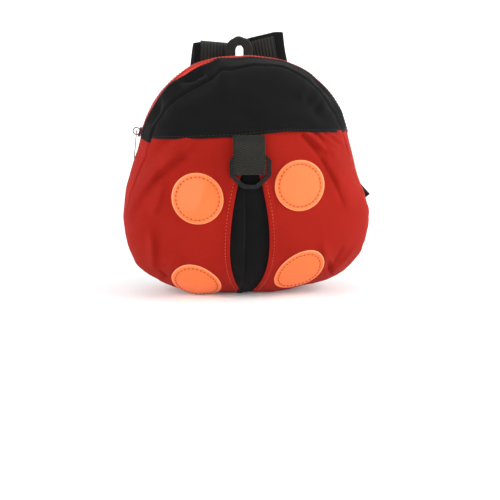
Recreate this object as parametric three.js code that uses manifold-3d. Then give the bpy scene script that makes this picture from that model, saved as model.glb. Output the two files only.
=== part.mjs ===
// A toddler's harness backpack: a small domed bag of sewn panels with four round spots, a D-ring on a
// webbing tab for a leash, a zip over the top, a grab loop and two padded shoulder straps.
// Millimetres, +Z up, the bag's front towards -Y. The origin is on the flat base that it stands on.
import * as THREE from 'three';
import { mergeVertices } from 'three/addons/utils/BufferGeometryUtils.js';
import Module from 'manifold-3d';

const wasm = await Module();
wasm.setup();

// Driving dimensions
const CLOTH = 2; // outer fabric with its foam and lining
const GAP = 0.3; // room between neighbouring pieces
const FRONT_Y = -52; // the fullest point of the front
const BACK_Y = 31; // the seam of the back panel
const BACK_BULGE = 4;
const MIDDLE = { x: 0, z: 85 }; // the point that the front swells from
const WEBBING = { width: 29, thickness: 1.5 };
const LOWER_WEBBING = { width: 25, thickness: 1.5 };
const PAD = { width: 40, thickness: 4.5 };
const SPOT = { radius: 23.5, thickness: 1, floorGap: 0.5 };

// The bag's outline, one row for each station around it, from the middle of the base up the right side.
// x and z are the widest line of the gusset. lean and curl say how far the front seam lies inside that
// line, seamY is that seam's depth, and round is the exponent of the front's swell towards it. tuck is
// how far the back seam lies inside the widest line.
const STATIONS = [
  { x: 0, z: -2.5, lean: 0, curl: 0, seamY: -5, round: 0.6, tuck: 0 },
  { x: 44, z: 3, lean: 0, curl: 0, seamY: -5, round: 0.6, tuck: 0 },
  { x: 82, z: 11.5, lean: 0.5, curl: 1, seamY: -6, round: 0.57, tuck: 3 },
  { x: 106.5, z: 28, lean: 0.5, curl: 1.5, seamY: -8, round: 0.53, tuck: 5 },
  { x: 119, z: 54, lean: 0.5, curl: 1.5, seamY: -10, round: 0.5, tuck: 6 },
  { x: 118.5, z: 82, lean: 0.5, curl: 2, seamY: -12, round: 0.5, tuck: 6 },
  { x: 109, z: 110, lean: 1, curl: 4, seamY: -15, round: 0.52, tuck: 6 },
  { x: 101.5, z: 138, lean: 2, curl: 5, seamY: -18, round: 0.55, tuck: 6 },
  { x: 93.5, z: 165, lean: 2, curl: 6, seamY: -19, round: 0.57, tuck: 6 },
  { x: 80.5, z: 189.5, lean: 3, curl: 6, seamY: -20, round: 0.6, tuck: 6 },
  { x: 60, z: 208, lean: 3, curl: 3, seamY: -20, round: 0.6, tuck: 6 },
  { x: 32.5, z: 220.5, lean: 3, curl: 2, seamY: -20, round: 0.6, tuck: 6 },
  { x: 2, z: 224, lean: 4, curl: 3, seamY: -20, round: 0.6, tuck: 6 },
  { x: -29.5, z: 221.5, lean: 9, curl: 6, seamY: -20, round: 0.6, tuck: 6 },
  { x: -57, z: 211.5, lean: 16, curl: 1, seamY: -20, round: 0.6, tuck: 6 },
  { x: -78.5, z: 191.5, lean: 9, curl: 4, seamY: -20, round: 0.6, tuck: 6 },
  { x: -92.5, z: 168.5, lean: 3, curl: 6, seamY: -19, round: 0.57, tuck: 6 },
  { x: -101, z: 143, lean: 2, curl: 7, seamY: -18, round: 0.55, tuck: 6 },
  { x: -109, z: 117, lean: 1, curl: 6, seamY: -15, round: 0.52, tuck: 6 },
  { x: -116, z: 87, lean: 0.5, curl: 3, seamY: -12, round: 0.5, tuck: 6 },
  { x: -116, z: 58, lean: 0.5, curl: 1.5, seamY: -10, round: 0.5, tuck: 6 },
  { x: -106, z: 29, lean: 0.5, curl: 1.5, seamY: -8, round: 0.53, tuck: 5 },
  { x: -81.5, z: 10.5, lean: 0.5, curl: 1, seamY: -6, round: 0.57, tuck: 3 },
  { x: -44, z: -1, lean: 0, curl: 0, seamY: -5, round: 0.6, tuck: 0 },
];
const ZIP_RIGHT = 7.5; // station where the zip starts on the right side
const ZIP_LEFT = 16.75; // and where it ends on the left
const SLIDER_STATION = 16.58;
// Shares of the gusset's depth, from the front seam to the back seam
const ZIP = { frontEdge: 0.37, coilFrom: 0.47, coilTo: 0.53, backEdge: 0.63, tape: 1.2, coilProud: 0.6 };

// Creases of the front: each a soft ridge (rise above 0) or valley from one point to another.
const FOLDS = [
  { fromX: 62, fromZ: 158, toX: 78, toZ: 132, width: 4, rise: 1.6 },
  { fromX: 74, fromZ: 156, toX: 92, toZ: 128, width: 4, rise: 1.8 },
  { fromX: 84, fromZ: 156, toX: 101, toZ: 126, width: 4, rise: 1.6 },
  { fromX: 66, fromZ: 140, toX: 92, toZ: 72, width: 6, rise: -1.5 },
  { fromX: -62, fromZ: 150, toX: -98, toZ: 105, width: 7, rise: 1.6 },
  { fromX: -84, fromZ: 70, toX: -74, toZ: 16, width: 6, rise: 1.5 },
  { fromX: -70, fromZ: 14, toX: -62, toZ: 26, width: 4, rise: -2 },
  { fromX: 80, fromZ: 14, toX: 70, toZ: 34, width: 5, rise: -2.2 },
  { fromX: -66, fromZ: 187, toX: -34, toZ: 205, width: 10, rise: -4 },
  { fromX: -70, fromZ: 176, toX: -40, toZ: 190, width: 7, rise: 1.5 },
];

// The lower edge of the black yoke, from the left seam to the right seam
const YOKE_EDGE = [
  { x: -125, z: 150 },
  { x: -90, z: 151.3 },
  { x: -43, z: 153.2 },
  { x: -10, z: 154.8 },
  { x: 34, z: 159.2 },
  { x: 87, z: 155.4 },
  { x: 125, z: 153 },
];

// Half the width of the black stripe that shows between the wings, by height
const STRIPE = { x: -0.5, recess: 1 };
const STRIPE_ROWS = [
  { z: 160, half: 0.6 },
  { z: 140, half: 2 },
  { z: 124, half: 7 },
  { z: 108, half: 11.6 },
  { z: 88, half: 15.5 },
  { z: 67, half: 17.9 },
  { z: 45, half: 18.2 },
  { z: 28, half: 16 },
  { z: 12, half: 10.5 },
  { z: 5, half: 5.6 },
  { z: 0, half: 3 },
];

const SPOTS = [
  { name: 'spot_upper_left', x: -48.3, z: 98.8, tilt: 4 },
  { name: 'spot_upper_right', x: 45.6, z: 109.7, tilt: -3 },
  { name: 'spot_lower_left', x: -49, z: 14, tilt: 47 },
  { name: 'spot_lower_right', x: 47.5, z: 25.5, tilt: 32 },
];

const RING = { width: 37.8, height: 29.5, bar: 4, rod: 1.7, thickness: 3.2, axisZ: 136 };
const TAB = { top: 155, fold: 123.3, clear: 0.75 };
const HANDLE = { x: -3.4, half: 8.3, width: 8.3, thickness: 4.5, top: 241.5, leftDrop: 0.6 };

const SLIDER = { length: 9, width: 8, thickness: 2, bail: 3.3, wire: 0.6, bailHeight: 2.3 };
const PULL = { length: 26, width: 6, thickness: 0.9, eyeWidth: 2.8, eyeLength: 4.8, topBar: 0.6, hang: 6 };

// The shoulder straps. Each rises from the back panel's top, folds over and hangs down behind to its
// lock, and its webbing lies webShift off the pad's middle. The lower webbing comes up to the lock from
// the bag's corner, goes over the lock's bar, and its spare end is the tail.
const STRAPS = [
  {
    side: 'left',
    webShift: 1.4,
    strap: [
      { x: -28.9, y: 40.2, z: 203, roll: -3 },
      { x: -28.1, y: 40.4, z: 212, roll: -4 },
      { x: -27.6, y: 40.5, z: 221, roll: -5 },
      { x: -27.3, y: 41.2, z: 227.5, roll: -5 },
      { x: -27.2, y: 43.8, z: 231.4, roll: -5 },
      { x: -27.2, y: 47.8, z: 232.6, roll: -5 },
      { x: -27.5, y: 52, z: 230.6, roll: -5 },
      { x: -28.2, y: 54.6, z: 225.5, roll: -5 },
      { x: -29.9, y: 57, z: 211, roll: -6 },
      { x: -33.4, y: 60, z: 180, roll: -7 },
      { x: -37.4, y: 60.5, z: 147, roll: -7 },
      { x: -41.3, y: 58.5, z: 116, roll: -7 },
      { x: -43.8, y: 56.5, z: 96, roll: -7 },
    ],
    lower: [
      { x: -91, y: 38.6, z: 32, roll: -50 },
      { x: -78, y: 42.6, z: 42, roll: -50 },
      { x: -64, y: 47, z: 51, roll: -40 },
      { x: -53, y: 49.6, z: 61, roll: -25 },
    ],
    tail: [
      { x: -50, y: 57, z: 50, roll: -9 },
      { x: -53, y: 56.5, z: 36, roll: -12 },
    ],
  },
  {
    side: 'right',
    webShift: -3.4,
    strap: [
      { x: 25.9, y: 40.2, z: 203, roll: 6 },
      { x: 24.2, y: 40.4, z: 212, roll: 10 },
      { x: 22.3, y: 40.5, z: 222, roll: 13 },
      { x: 21, y: 41.2, z: 230, roll: 13 },
      { x: 20.3, y: 43.8, z: 236, roll: 13 },
      { x: 20.3, y: 47.8, z: 237.8, roll: 13 },
      { x: 20.9, y: 52, z: 235, roll: 13 },
      { x: 22.2, y: 54.6, z: 229.5, roll: 13 },
      { x: 26.2, y: 57, z: 213, roll: 13 },
      { x: 33.6, y: 60, z: 180, roll: 13 },
      { x: 41.2, y: 60.5, z: 147, roll: 13 },
      { x: 48.4, y: 58.5, z: 116, roll: 13 },
      { x: 53, y: 56.5, z: 96, roll: 13 },
    ],
    lower: [
      { x: 91, y: 38.6, z: 32, roll: 50 },
      { x: 82, y: 42.6, z: 41, roll: 50 },
      { x: 72.5, y: 47, z: 50, roll: 42 },
      { x: 65, y: 49.6, z: 60, roll: 28 },
    ],
    tail: [
      { x: 68, y: 59, z: 62, roll: 40 },
      { x: 80, y: 57.5, z: 61, roll: 75 },
      { x: 94, y: 54, z: 70, roll: 108 },
      { x: 107, y: 49.5, z: 83, roll: 118 },
      { x: 120, y: 45, z: 95, roll: 122 },
    ],
  },
];
const LOCK = { width: 35, height: 23, thickness: 3.4, bar: 3.2, slotWidth: 27.5, slotHeight: 6 };
// The cloth tabs at the bag's lower corners that hold the straps' ends, as corners on the left side
const ANCHOR = { thickness: 2.4, corners: [[-112, 46], [-83, 8], [-74.5, 27.5], [-92.5, 48.5]] };

const BLACK_CLOTH = cloth('#17181b', 0.85);
const RED_CLOTH = cloth('#c42a20', 0.8);
const BLACK_WEBBING = cloth('#2c2b27', 0.9);
const RED_TAPE = cloth('#e8402f', 0.75);
const VINYL = cloth('#ff8a4a', 0.35);
const BLACK_PLASTIC = cloth('#191b1d', 0.45);
const RED_ENAMEL = new THREE.MeshStandardMaterial({ color: '#8f1a18', roughness: 0.35, metalness: 0.5 });

function cloth(color, roughness) {
  return new THREE.MeshStandardMaterial({ color, roughness, metalness: 0 });
}

// A smooth value of one column: uniform cubic through the rows, at a position counted in rows.
function cubic(p0, p1, p2, p3, t) {
  const a = 2 * p1;
  const b = p2 - p0;
  const c = 2 * p0 - 5 * p1 + 4 * p2 - p3;
  const d = 3 * p1 - 3 * p2 + p3 - p0;
  return 0.5 * (a + b * t + c * t * t + d * t * t * t);
}

function aroundColumn(key, station) {
  const n = STATIONS.length;
  const i = Math.floor(station);
  const at = (k) => STATIONS[(((i + k) % n) + n) % n][key];
  return cubic(at(-1), at(0), at(1), at(2), station - i);
}

// A value of one column of an open table, by another column that rises or falls steadily.
function tableValue(rows, by, key, value) {
  const sign = Math.sign(rows[rows.length - 1][by] - rows[0][by]);
  const found = rows.findIndex((row) => (row[by] - value) * sign >= 0);
  const i = found < 0 ? rows.length - 1 : Math.max(found, 1);
  const [low, high] = [rows[i - 1], rows[i]];
  const t = THREE.MathUtils.clamp((value - low[by]) / (high[by] - low[by]), 0, 1);
  const at = (k) => rows[THREE.MathUtils.clamp(k, 0, rows.length - 1)][key];
  return cubic(at(i - 2), at(i - 1), at(i), at(i + 1), t);
}

// The outline's outward direction in the XZ plane at a station
function outward(station) {
  const step = 0.02;
  const dx = aroundColumn('x', station + step) - aroundColumn('x', station - step);
  const dz = aroundColumn('z', station + step) - aroundColumn('z', station - step);
  const length = Math.hypot(dx, dz);
  return { x: dz / length, z: -dx / length };
}

// A point of the gusset: share runs from the front seam, 0, to the back seam, 1, and depth is measured
// inwards from the outer face. The base is pressed flat where the bag stands on it.
function gussetPoint(station, share, depth) {
  const out = outward(station);
  const front = Math.max(0, 1 - share * 2);
  const back = Math.max(0, share * 2 - 1);
  const lean = aroundColumn('lean', station);
  const curl = aroundColumn('curl', station);
  const tuck = aroundColumn('tuck', station);
  const inset = lean * front + curl * front * front + tuck * back * back + depth;
  const seamY = aroundColumn('seamY', station);
  const x = aroundColumn('x', station) - out.x * inset;
  const z = aroundColumn('z', station) - out.z * inset;
  return new THREE.Vector3(x, seamY + (BACK_Y - seamY) * share, Math.max(z, depth));
}

function foldRise(x, z) {
  let rise = 0;
  for (const fold of FOLDS) {
    const ax = fold.toX - fold.fromX;
    const az = fold.toZ - fold.fromZ;
    const along = ((x - fold.fromX) * ax + (z - fold.fromZ) * az) / (ax * ax + az * az);
    const t = THREE.MathUtils.clamp(along, 0, 1);
    const away = Math.hypot(x - fold.fromX - ax * t, z - fold.fromZ - az * t) / fold.width;
    rise += fold.rise * Math.exp(-away * away);
  }
  return rise;
}

// A point of the front: radius runs from the middle, 0, to the seam, 1.
function frontPoint(station, radius, depth) {
  const seam = gussetPoint(station, 0, depth);
  const x = MIDDLE.x + (seam.x - MIDDLE.x) * radius;
  const z = MIDDLE.z + (seam.z - MIDDLE.z) * radius;
  const swell = (1 - radius * radius) ** aroundColumn('round', station);
  const middleY = FRONT_Y + depth;
  const y = seam.y - (seam.y - middleY) * swell - foldRise(x, z) * (1 - radius ** 8);
  return new THREE.Vector3(x, y, Math.max(z, depth));
}

// The front's depth at x and z, found by walking out from the middle along the line to that point.
function frontY(x, z, depth = 0) {
  let [best, nearest] = [0, Infinity];
  const angle = Math.atan2(z - MIDDLE.z, x - MIDDLE.x);
  for (let station = 0; station < STATIONS.length; station += 0.05) {
    const seam = gussetPoint(station, 0, depth);
    const turn = Math.abs(Math.atan2(seam.z - MIDDLE.z, seam.x - MIDDLE.x) - angle);
    const away = Math.min(turn, 2 * Math.PI - turn);
    if (away < nearest) [best, nearest] = [station, away];
  }
  const seam = gussetPoint(best, 0, depth);
  const radius = Math.hypot(x - MIDDLE.x, z - MIDDLE.z) / Math.hypot(seam.x - MIDDLE.x, seam.z - MIDDLE.z);
  return frontPoint(best, Math.min(radius, 1), depth).y;
}

function backPoint(station, radius, depth) {
  const seam = gussetPoint(station, 1, depth);
  const x = MIDDLE.x + (seam.x - MIDDLE.x) * radius;
  const z = MIDDLE.z + (seam.z - MIDDLE.z) * radius;
  return new THREE.Vector3(x, seam.y + GAP + (BACK_BULGE + CLOTH - depth) * Math.sqrt(1 - radius ** 4), z);
}

// A closed geometry from triangles of points, turned so that it faces out
function closedGeometry(triangles) {
  const kept = triangles.filter(([a, b, c]) => a.distanceTo(b) > 1e-4 && b.distanceTo(c) > 1e-4
    && c.distanceTo(a) > 1e-4);
  const volume = kept.reduce((sum, [a, b, c]) => sum + a.dot(b.clone().cross(c)), 0);
  const points = kept.flatMap(([a, b, c]) => (volume < 0 ? [a, c, b] : [a, b, c]));
  return new THREE.BufferGeometry().setFromPoints(points);
}

// A solid sheet over a grid. pointAt(u, v, side) gives its outer face at side 0 and its inner at side 1,
// with u and v from 0 to 1. A closed sheet joins up in u, and a poled one meets in one point at v = 0.
function sheetGeometry(pointAt, across, along, { closed = false, poled = false } = {}) {
  const triangles = [];
  const quad = (a, b, c, d) => triangles.push([a, b, c], [a, c, d]);
  const at = (i, j, side) => pointAt(closed ? (i % across) / across : i / across, j / along, side);
  const grid = [0, 1].map((side) => Array.from({ length: across + 1 },
    (_, i) => Array.from({ length: along + 1 }, (__, j) => at(i, j, side))));
  for (let i = 0; i < across; i++) {
    for (let j = 0; j < along; j++) {
      const [outer, inner] = grid;
      quad(outer[i][j], outer[i + 1][j], outer[i + 1][j + 1], outer[i][j + 1]);
      quad(inner[i][j], inner[i][j + 1], inner[i + 1][j + 1], inner[i + 1][j]);
    }
  }
  const bothFaces = ([i, j]) => grid.map((face) => face[i][j]);
  const rim = (from, to) => {
    const [fromOuter, fromInner] = bothFaces(from);
    const [toOuter, toInner] = bothFaces(to);
    quad(fromOuter, fromInner, toInner, toOuter);
  };
  for (let i = 0; i < across; i++) {
    if (!poled) rim([i, 0], [i + 1, 0]);
    rim([i + 1, along], [i, along]);
  }
  for (let j = 0; j < along && !closed; j++) {
    rim([0, j + 1], [0, j]);
    rim([across, j], [across, j + 1]);
  }
  return closedGeometry(triangles);
}

function solidOf(geometry) {
  const bare = geometry.index ? geometry.toNonIndexed() : geometry.clone();
  bare.deleteAttribute('normal');
  bare.deleteAttribute('uv');
  const merged = mergeVertices(bare, 1e-3);
  return new wasm.Manifold(new wasm.Mesh({
    numProp: 3,
    vertProperties: merged.attributes.position.array,
    triVerts: new Uint32Array(merged.index.array),
  }));
}

function geometryOf(solid) {
  const mesh = solid.getMesh();
  const geometry = new THREE.BufferGeometry();
  geometry.setAttribute('position', new THREE.BufferAttribute(mesh.vertProperties, 3));
  geometry.setIndex(new THREE.BufferAttribute(mesh.triVerts, 1));
  return geometry;
}

const backpack = new THREE.Group();

// The solids that cut the front into its panels reach past the bag on every side
const BEYOND = { half: 125, top: 260, depth: 200 };

function addPiece(name, geometry, material, parent = backpack) {
  const mesh = new THREE.Mesh(geometry, material);
  mesh.name = name;
  parent.add(mesh);
  return mesh;
}

// A prism along Y over a region of the front, given by its corners in x and z
function regionSolid(corners) {
  const shape = new THREE.Shape(corners.map(({ x, z }) => new THREE.Vector2(x, z)));
  const prism = new THREE.ExtrudeGeometry(shape, { depth: BEYOND.depth, bevelEnabled: false });
  prism.rotateX(Math.PI / 2);
  prism.translate(0, BEYOND.depth / 2, 0);
  return solidOf(prism);
}

// The front as one domed sheet between two depths
function frontSheet(outer, inner) {
  const stationsAround = 62;
  const rings = 9;
  const pointAt = (u, v, side) => {
    const radius = Math.sin(v * Math.PI / 2) ** 0.9;
    const point = frontPoint(u * STATIONS.length, radius, side ? inner : outer);
    point.y -= GAP / 2;
    return point;
  };
  return solidOf(sheetGeometry(pointAt, stationsAround, rings, { closed: true, poled: true }));
}

function yokeCorners(shift) {
  const steps = 24;
  const edge = Array.from({ length: steps + 1 }, (_, i) => {
    const x = -BEYOND.half + (2 * BEYOND.half * i) / steps;
    return { x, z: tableValue(YOKE_EDGE, 'x', 'z', x) + shift };
  });
  return [...edge, { x: BEYOND.half, z: BEYOND.top }, { x: -BEYOND.half, z: BEYOND.top }];
}

function stripeCorners(grow) {
  const heights = Array.from({ length: 17 }, (_, i) => 160 - i * 10);
  const side = (sign) => heights.map((z) => ({
    x: STRIPE.x + sign * (tableValue(STRIPE_ROWS, 'z', 'half', Math.max(z, 0)) + grow),
    z: z === 0 ? -10 : z + (z === 160 ? 20 : 0),
  }));
  return [...side(-1), ...side(1).reverse()];
}

// The front: a black yoke over two red wings, which part over a black stripe set a little deeper
function addFrontPanels() {
  const sheet = frontSheet(0, CLOTH);
  const yokeRegion = regionSolid(yokeCorners(GAP / 2));
  const belowYoke = sheet.subtract(regionSolid(yokeCorners(-GAP / 2)));
  const wings = belowYoke.subtract(regionSolid(stripeCorners(GAP / 2)));
  const { depth } = BEYOND;
  const half = (sign) => new THREE.BoxGeometry(depth, depth, 2 * depth)
    .translate(STRIPE.x + (sign * depth) / 2, 0, depth / 2);
  addPiece('yoke', geometryOf(sheet.intersect(yokeRegion)), BLACK_CLOTH);
  addPiece('wing_left', geometryOf(wings.intersect(solidOf(half(-1)))), RED_CLOTH);
  addPiece('wing_right', geometryOf(wings.intersect(solidOf(half(1)))), RED_CLOTH);
  const deeper = frontSheet(STRIPE.recess, CLOTH).subtract(regionSolid(yokeCorners(-GAP / 2)));
  addPiece('centre_stripe', geometryOf(deeper.intersect(regionSolid(stripeCorners(-GAP / 2)))), BLACK_CLOTH);
}

// Round spots of glossy vinyl sewn onto the wings. The lower pair turns under with the front, and is
// trimmed where the bag rests.
function addSpots() {
  const layer = frontSheet(-GAP - SPOT.thickness, -GAP);
  const aboveFloor = solidOf(new THREE.BoxGeometry(300, 200, 300).translate(0, 0, 150 + SPOT.floorGap));
  for (const spot of SPOTS) {
    const punch = new THREE.CylinderGeometry(SPOT.radius, SPOT.radius, 50, 24);
    punch.rotateX(THREE.MathUtils.degToRad(spot.tilt));
    punch.translate(spot.x, frontY(spot.x, spot.z), spot.z);
    const disc = layer.intersect(solidOf(punch)).intersect(aboveFloor);
    addPiece(spot.name, geometryOf(disc), VINYL);
  }
}

// A stretch of the gusset between two stations and two shares of its depth
function gussetStretch(from, to, shareFrom, shareTo, steps, rows, proud = 0, wall = CLOTH) {
  const endGap = 0.006;
  const sideGap = 0.003;
  const pointAt = (u, v, side) => {
    const station = from + endGap + (to - from - 2 * endGap) * u;
    const share = shareFrom + sideGap + (shareTo - shareFrom - 2 * sideGap) * v;
    return gussetPoint(station, share, side ? wall : -proud);
  };
  return sheetGeometry(pointAt, steps, rows);
}

// The zip's stretch of the gusset, over the top, in rows that run from one end of the zip to the other
function zipStretch(shareFrom, shareTo, rows, proud, wall) {
  return gussetStretch(ZIP_RIGHT, ZIP_LEFT, shareFrom, shareTo, 36, rows, proud, wall);
}

function addGusset() {
  const { frontEdge, backEdge } = ZIP;
  addPiece('gusset_lower', gussetStretch(ZIP_LEFT, ZIP_RIGHT + STATIONS.length, 0, 1, 45, 5), RED_CLOTH);
  addPiece('gusset_front_band', zipStretch(0, frontEdge, 2, 0, CLOTH), BLACK_CLOTH);
  addPiece('gusset_back_band', zipStretch(backEdge, 1, 2, 0, CLOTH), RED_CLOTH);
}

// The zip: two woven tapes with a coil between them, closed all the way
function addZip() {
  const { frontEdge, coilFrom, coilTo, backEdge, tape, coilProud } = ZIP;
  addPiece('zip_tape_front', zipStretch(frontEdge, coilFrom, 1, 0, tape), RED_TAPE);
  addPiece('zip_tape_back', zipStretch(coilTo, backEdge, 1, 0, tape), RED_TAPE);
  addPiece('zip_coil', zipStretch(coilFrom, coilTo, 1, coilProud, tape), RED_TAPE);
}

function backSheet(outer, inner) {
  const pointAt = (u, v, side) => {
    const radius = Math.sin(v * Math.PI / 2);
    return backPoint(u * STATIONS.length, radius, side ? inner : outer);
  };
  return sheetGeometry(pointAt, 48, 4, { closed: true, poled: true });
}

function addBackPanel() {
  addPiece('back_panel', backSheet(0, CLOTH), BLACK_CLOTH);
}

// The zip's slider, with an open bail on it that the pull hangs in
function sliderPlace() {
  const place = new THREE.Group();
  const out = outward(SLIDER_STATION);
  place.position.copy(gussetPoint(SLIDER_STATION, 0.5, -ZIP.coilProud - GAP));
  place.rotation.y = -Math.atan2(out.z, out.x);
  return place;
}

function addSlider() {
  const { length, width, thickness, bail, wire, bailHeight } = SLIDER;
  const body = new THREE.Shape();
  const [l, w] = [length / 2, width / 2];
  body.moveTo(-w * 0.55, -l);
  body.lineTo(w * 0.55, -l);
  body.lineTo(w, l * 0.1);
  body.lineTo(w * 0.9, l);
  body.lineTo(w * 0.25, l);
  body.lineTo(0, l * 0.55);
  body.lineTo(-w * 0.25, l);
  body.lineTo(-w * 0.9, l);
  body.lineTo(-w, l * 0.1);
  const plate = new THREE.ExtrudeGeometry(body, { depth: thickness, bevelEnabled: false });
  plate.rotateZ(-Math.PI / 2);
  plate.rotateY(Math.PI / 2);
  const loop = new THREE.TorusGeometry(bail, wire, 6, 16);
  loop.rotateX(Math.PI / 2);
  loop.translate(thickness + bailHeight, 0, 0);
  const place = sliderPlace();
  addPiece('zip_slider', geometryOf(solidOf(plate).add(solidOf(loop))), RED_ENAMEL, place);
  backpack.add(place);
}

// The pull: a flat strip whose eye has the bail's wire through it. It turns about its top edge.
function addPull() {
  const { length, width, thickness, eyeWidth, eyeLength, topBar, hang } = PULL;
  const [w, e] = [width / 2, eyeWidth / 2];
  const strip = new THREE.Shape();
  strip.moveTo(-w * 0.6, topBar);
  strip.lineTo(w * 0.6, topBar);
  strip.lineTo(w, -2);
  strip.lineTo(w * 0.8, -eyeLength - 3);
  strip.lineTo(w, -length + 2);
  strip.quadraticCurveTo(w, -length, 0, -length);
  strip.quadraticCurveTo(-w, -length, -w, -length + 2);
  strip.lineTo(-w * 0.8, -eyeLength - 3);
  strip.lineTo(-w, -2);
  const eye = new THREE.Path();
  eye.moveTo(-e, -topBar);
  eye.lineTo(-e, -eyeLength);
  eye.lineTo(e, -eyeLength);
  eye.lineTo(e, -topBar);
  strip.holes.push(eye);
  const pull = new THREE.ExtrudeGeometry(strip, { depth: thickness, bevelEnabled: false, curveSegments: 5 });
  pull.translate(0, 0, -thickness / 2);
  pull.rotateX(Math.PI / 2);
  pull.rotateZ(Math.PI / 2);
  const place = sliderPlace();
  const pivot = new THREE.Vector3(SLIDER.thickness + SLIDER.bailHeight, 0, 0);
  place.updateMatrix();
  const hanging = new THREE.Group();
  hanging.position.copy(pivot.applyMatrix4(place.matrix));
  hanging.rotation.y = THREE.MathUtils.degToRad(hang);
  addPiece('zip_pull', pull, RED_ENAMEL, hanging);
  backpack.add(hanging);
}

// The depth of the tab's back face at a height, and of the ring's rod in front of its back layer
function tabBackY(z) {
  return frontY(STRIPE.x, z) - GAP - TAB.clear;
}

function ringAxisY() {
  return tabBackY(RING.axisZ) - WEBBING.thickness - GAP - RING.rod;
}

// The D-ring: a round rod on top that it turns on, straight sides and a narrow flat at the foot
function addRing() {
  const { width, height, bar, rod, thickness } = RING;
  const [w, h] = [width / 2, height];
  const inner = w - bar;
  const frame = new THREE.Shape();
  frame.moveTo(-w + 3, rod);
  frame.lineTo(-w, rod - 3.5);
  frame.lineTo(-w, -h * 0.53);
  frame.lineTo(-w * 0.42, 1 + rod - h);
  frame.lineTo(-w * 0.25, rod - h);
  frame.lineTo(w * 0.25, rod - h);
  frame.lineTo(w * 0.42, 1 + rod - h);
  frame.lineTo(w, -h * 0.53);
  frame.lineTo(w, rod - 3.5);
  frame.lineTo(w - 3, rod);
  frame.lineTo(inner, rod);
  frame.lineTo(inner, -h * 0.5);
  frame.lineTo(w * 0.25, rod - h + bar);
  frame.lineTo(-w * 0.25, rod - h + bar);
  frame.lineTo(-inner, -h * 0.5);
  frame.lineTo(-inner, rod);
  const side = new THREE.ExtrudeGeometry(frame, { depth: thickness, bevelEnabled: false });
  side.translate(0, 0, -thickness / 2);
  side.rotateX(Math.PI / 2);
  const bore = new THREE.CylinderGeometry(rod, rod, 2 * inner + 1, 14);
  bore.rotateZ(Math.PI / 2);
  const ring = geometryOf(solidOf(side).add(solidOf(bore)));
  ring.translate(STRIPE.x, ringAxisY(), RING.axisZ);
  addPiece('d_ring', ring, BLACK_PLASTIC);
}

// The webbing tab: its two layers are sewn into the yoke's seam and part round the ring's rod
function addRingTab() {
  const layer = WEBBING.thickness;
  const room = 2 * (RING.rod + GAP);
  const spread = (z) => {
    const above = THREE.MathUtils.smoothstep(TAB.top - z, 3, 15);
    const below = THREE.MathUtils.smoothstep(z, TAB.fold - 2, RING.axisZ - 3);
    return 0.2 + (room - 0.2) * above * (0.3 + 0.7 * below);
  };
  const steps = 12;
  const heights = Array.from({ length: steps + 1 }, (_, i) => TAB.top + ((TAB.fold - TAB.top) * i) / steps);
  const line = (zs, depth) => zs.map((z) => new THREE.Vector2(tabBackY(z) - depth(z), z));
  const holeHeights = heights.slice(1, -1);
  const shape = new THREE.Shape([
    ...line(heights, () => 0),
    new THREE.Vector2(tabBackY(TAB.fold) - layer - spread(TAB.fold) / 2, TAB.fold - layer * 0.9),
    ...line(heights, (z) => 2 * layer + spread(z)).reverse(),
  ]);
  shape.holes.push(new THREE.Path([
    ...line(holeHeights, (z) => layer + spread(z)),
    ...line(holeHeights, () => layer).reverse(),
  ]));
  const tab = new THREE.ExtrudeGeometry(shape, { depth: WEBBING.width, bevelEnabled: false });
  tab.rotateX(Math.PI / 2);
  tab.rotateZ(Math.PI / 2);
  tab.translate(STRIPE.x - WEBBING.width / 2, 0, 0);
  addPiece('ring_tab', tab, BLACK_WEBBING);
}

// The grab loop: a flat strip bent over between the straps, with its ends in the back seam
function addHandle() {
  const { x, half, width, thickness, top, leftDrop } = HANDLE;
  const seam = gussetPoint(12, 1, 0);
  const foot = seam.z + GAP;
  const inner = half - width / 2;
  const outer = half + width / 2;
  const bend = top - outer;
  const loop = new THREE.Shape();
  loop.moveTo(-outer, foot - leftDrop);
  loop.lineTo(-outer, bend);
  loop.absarc(0, bend, outer, Math.PI, 0, true);
  loop.lineTo(outer, foot);
  loop.lineTo(inner, foot);
  loop.lineTo(inner, bend);
  loop.absarc(0, bend, inner, 0, Math.PI, false);
  loop.lineTo(-inner, foot);
  const settings = { depth: thickness, bevelEnabled: false, curveSegments: 10 };
  const handle = new THREE.ExtrudeGeometry(loop, settings);
  handle.rotateX(Math.PI / 2);
  handle.translate(x, seam.y + GAP + thickness, 0);
  addPiece('grab_handle', handle, BLACK_WEBBING);
}

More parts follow.
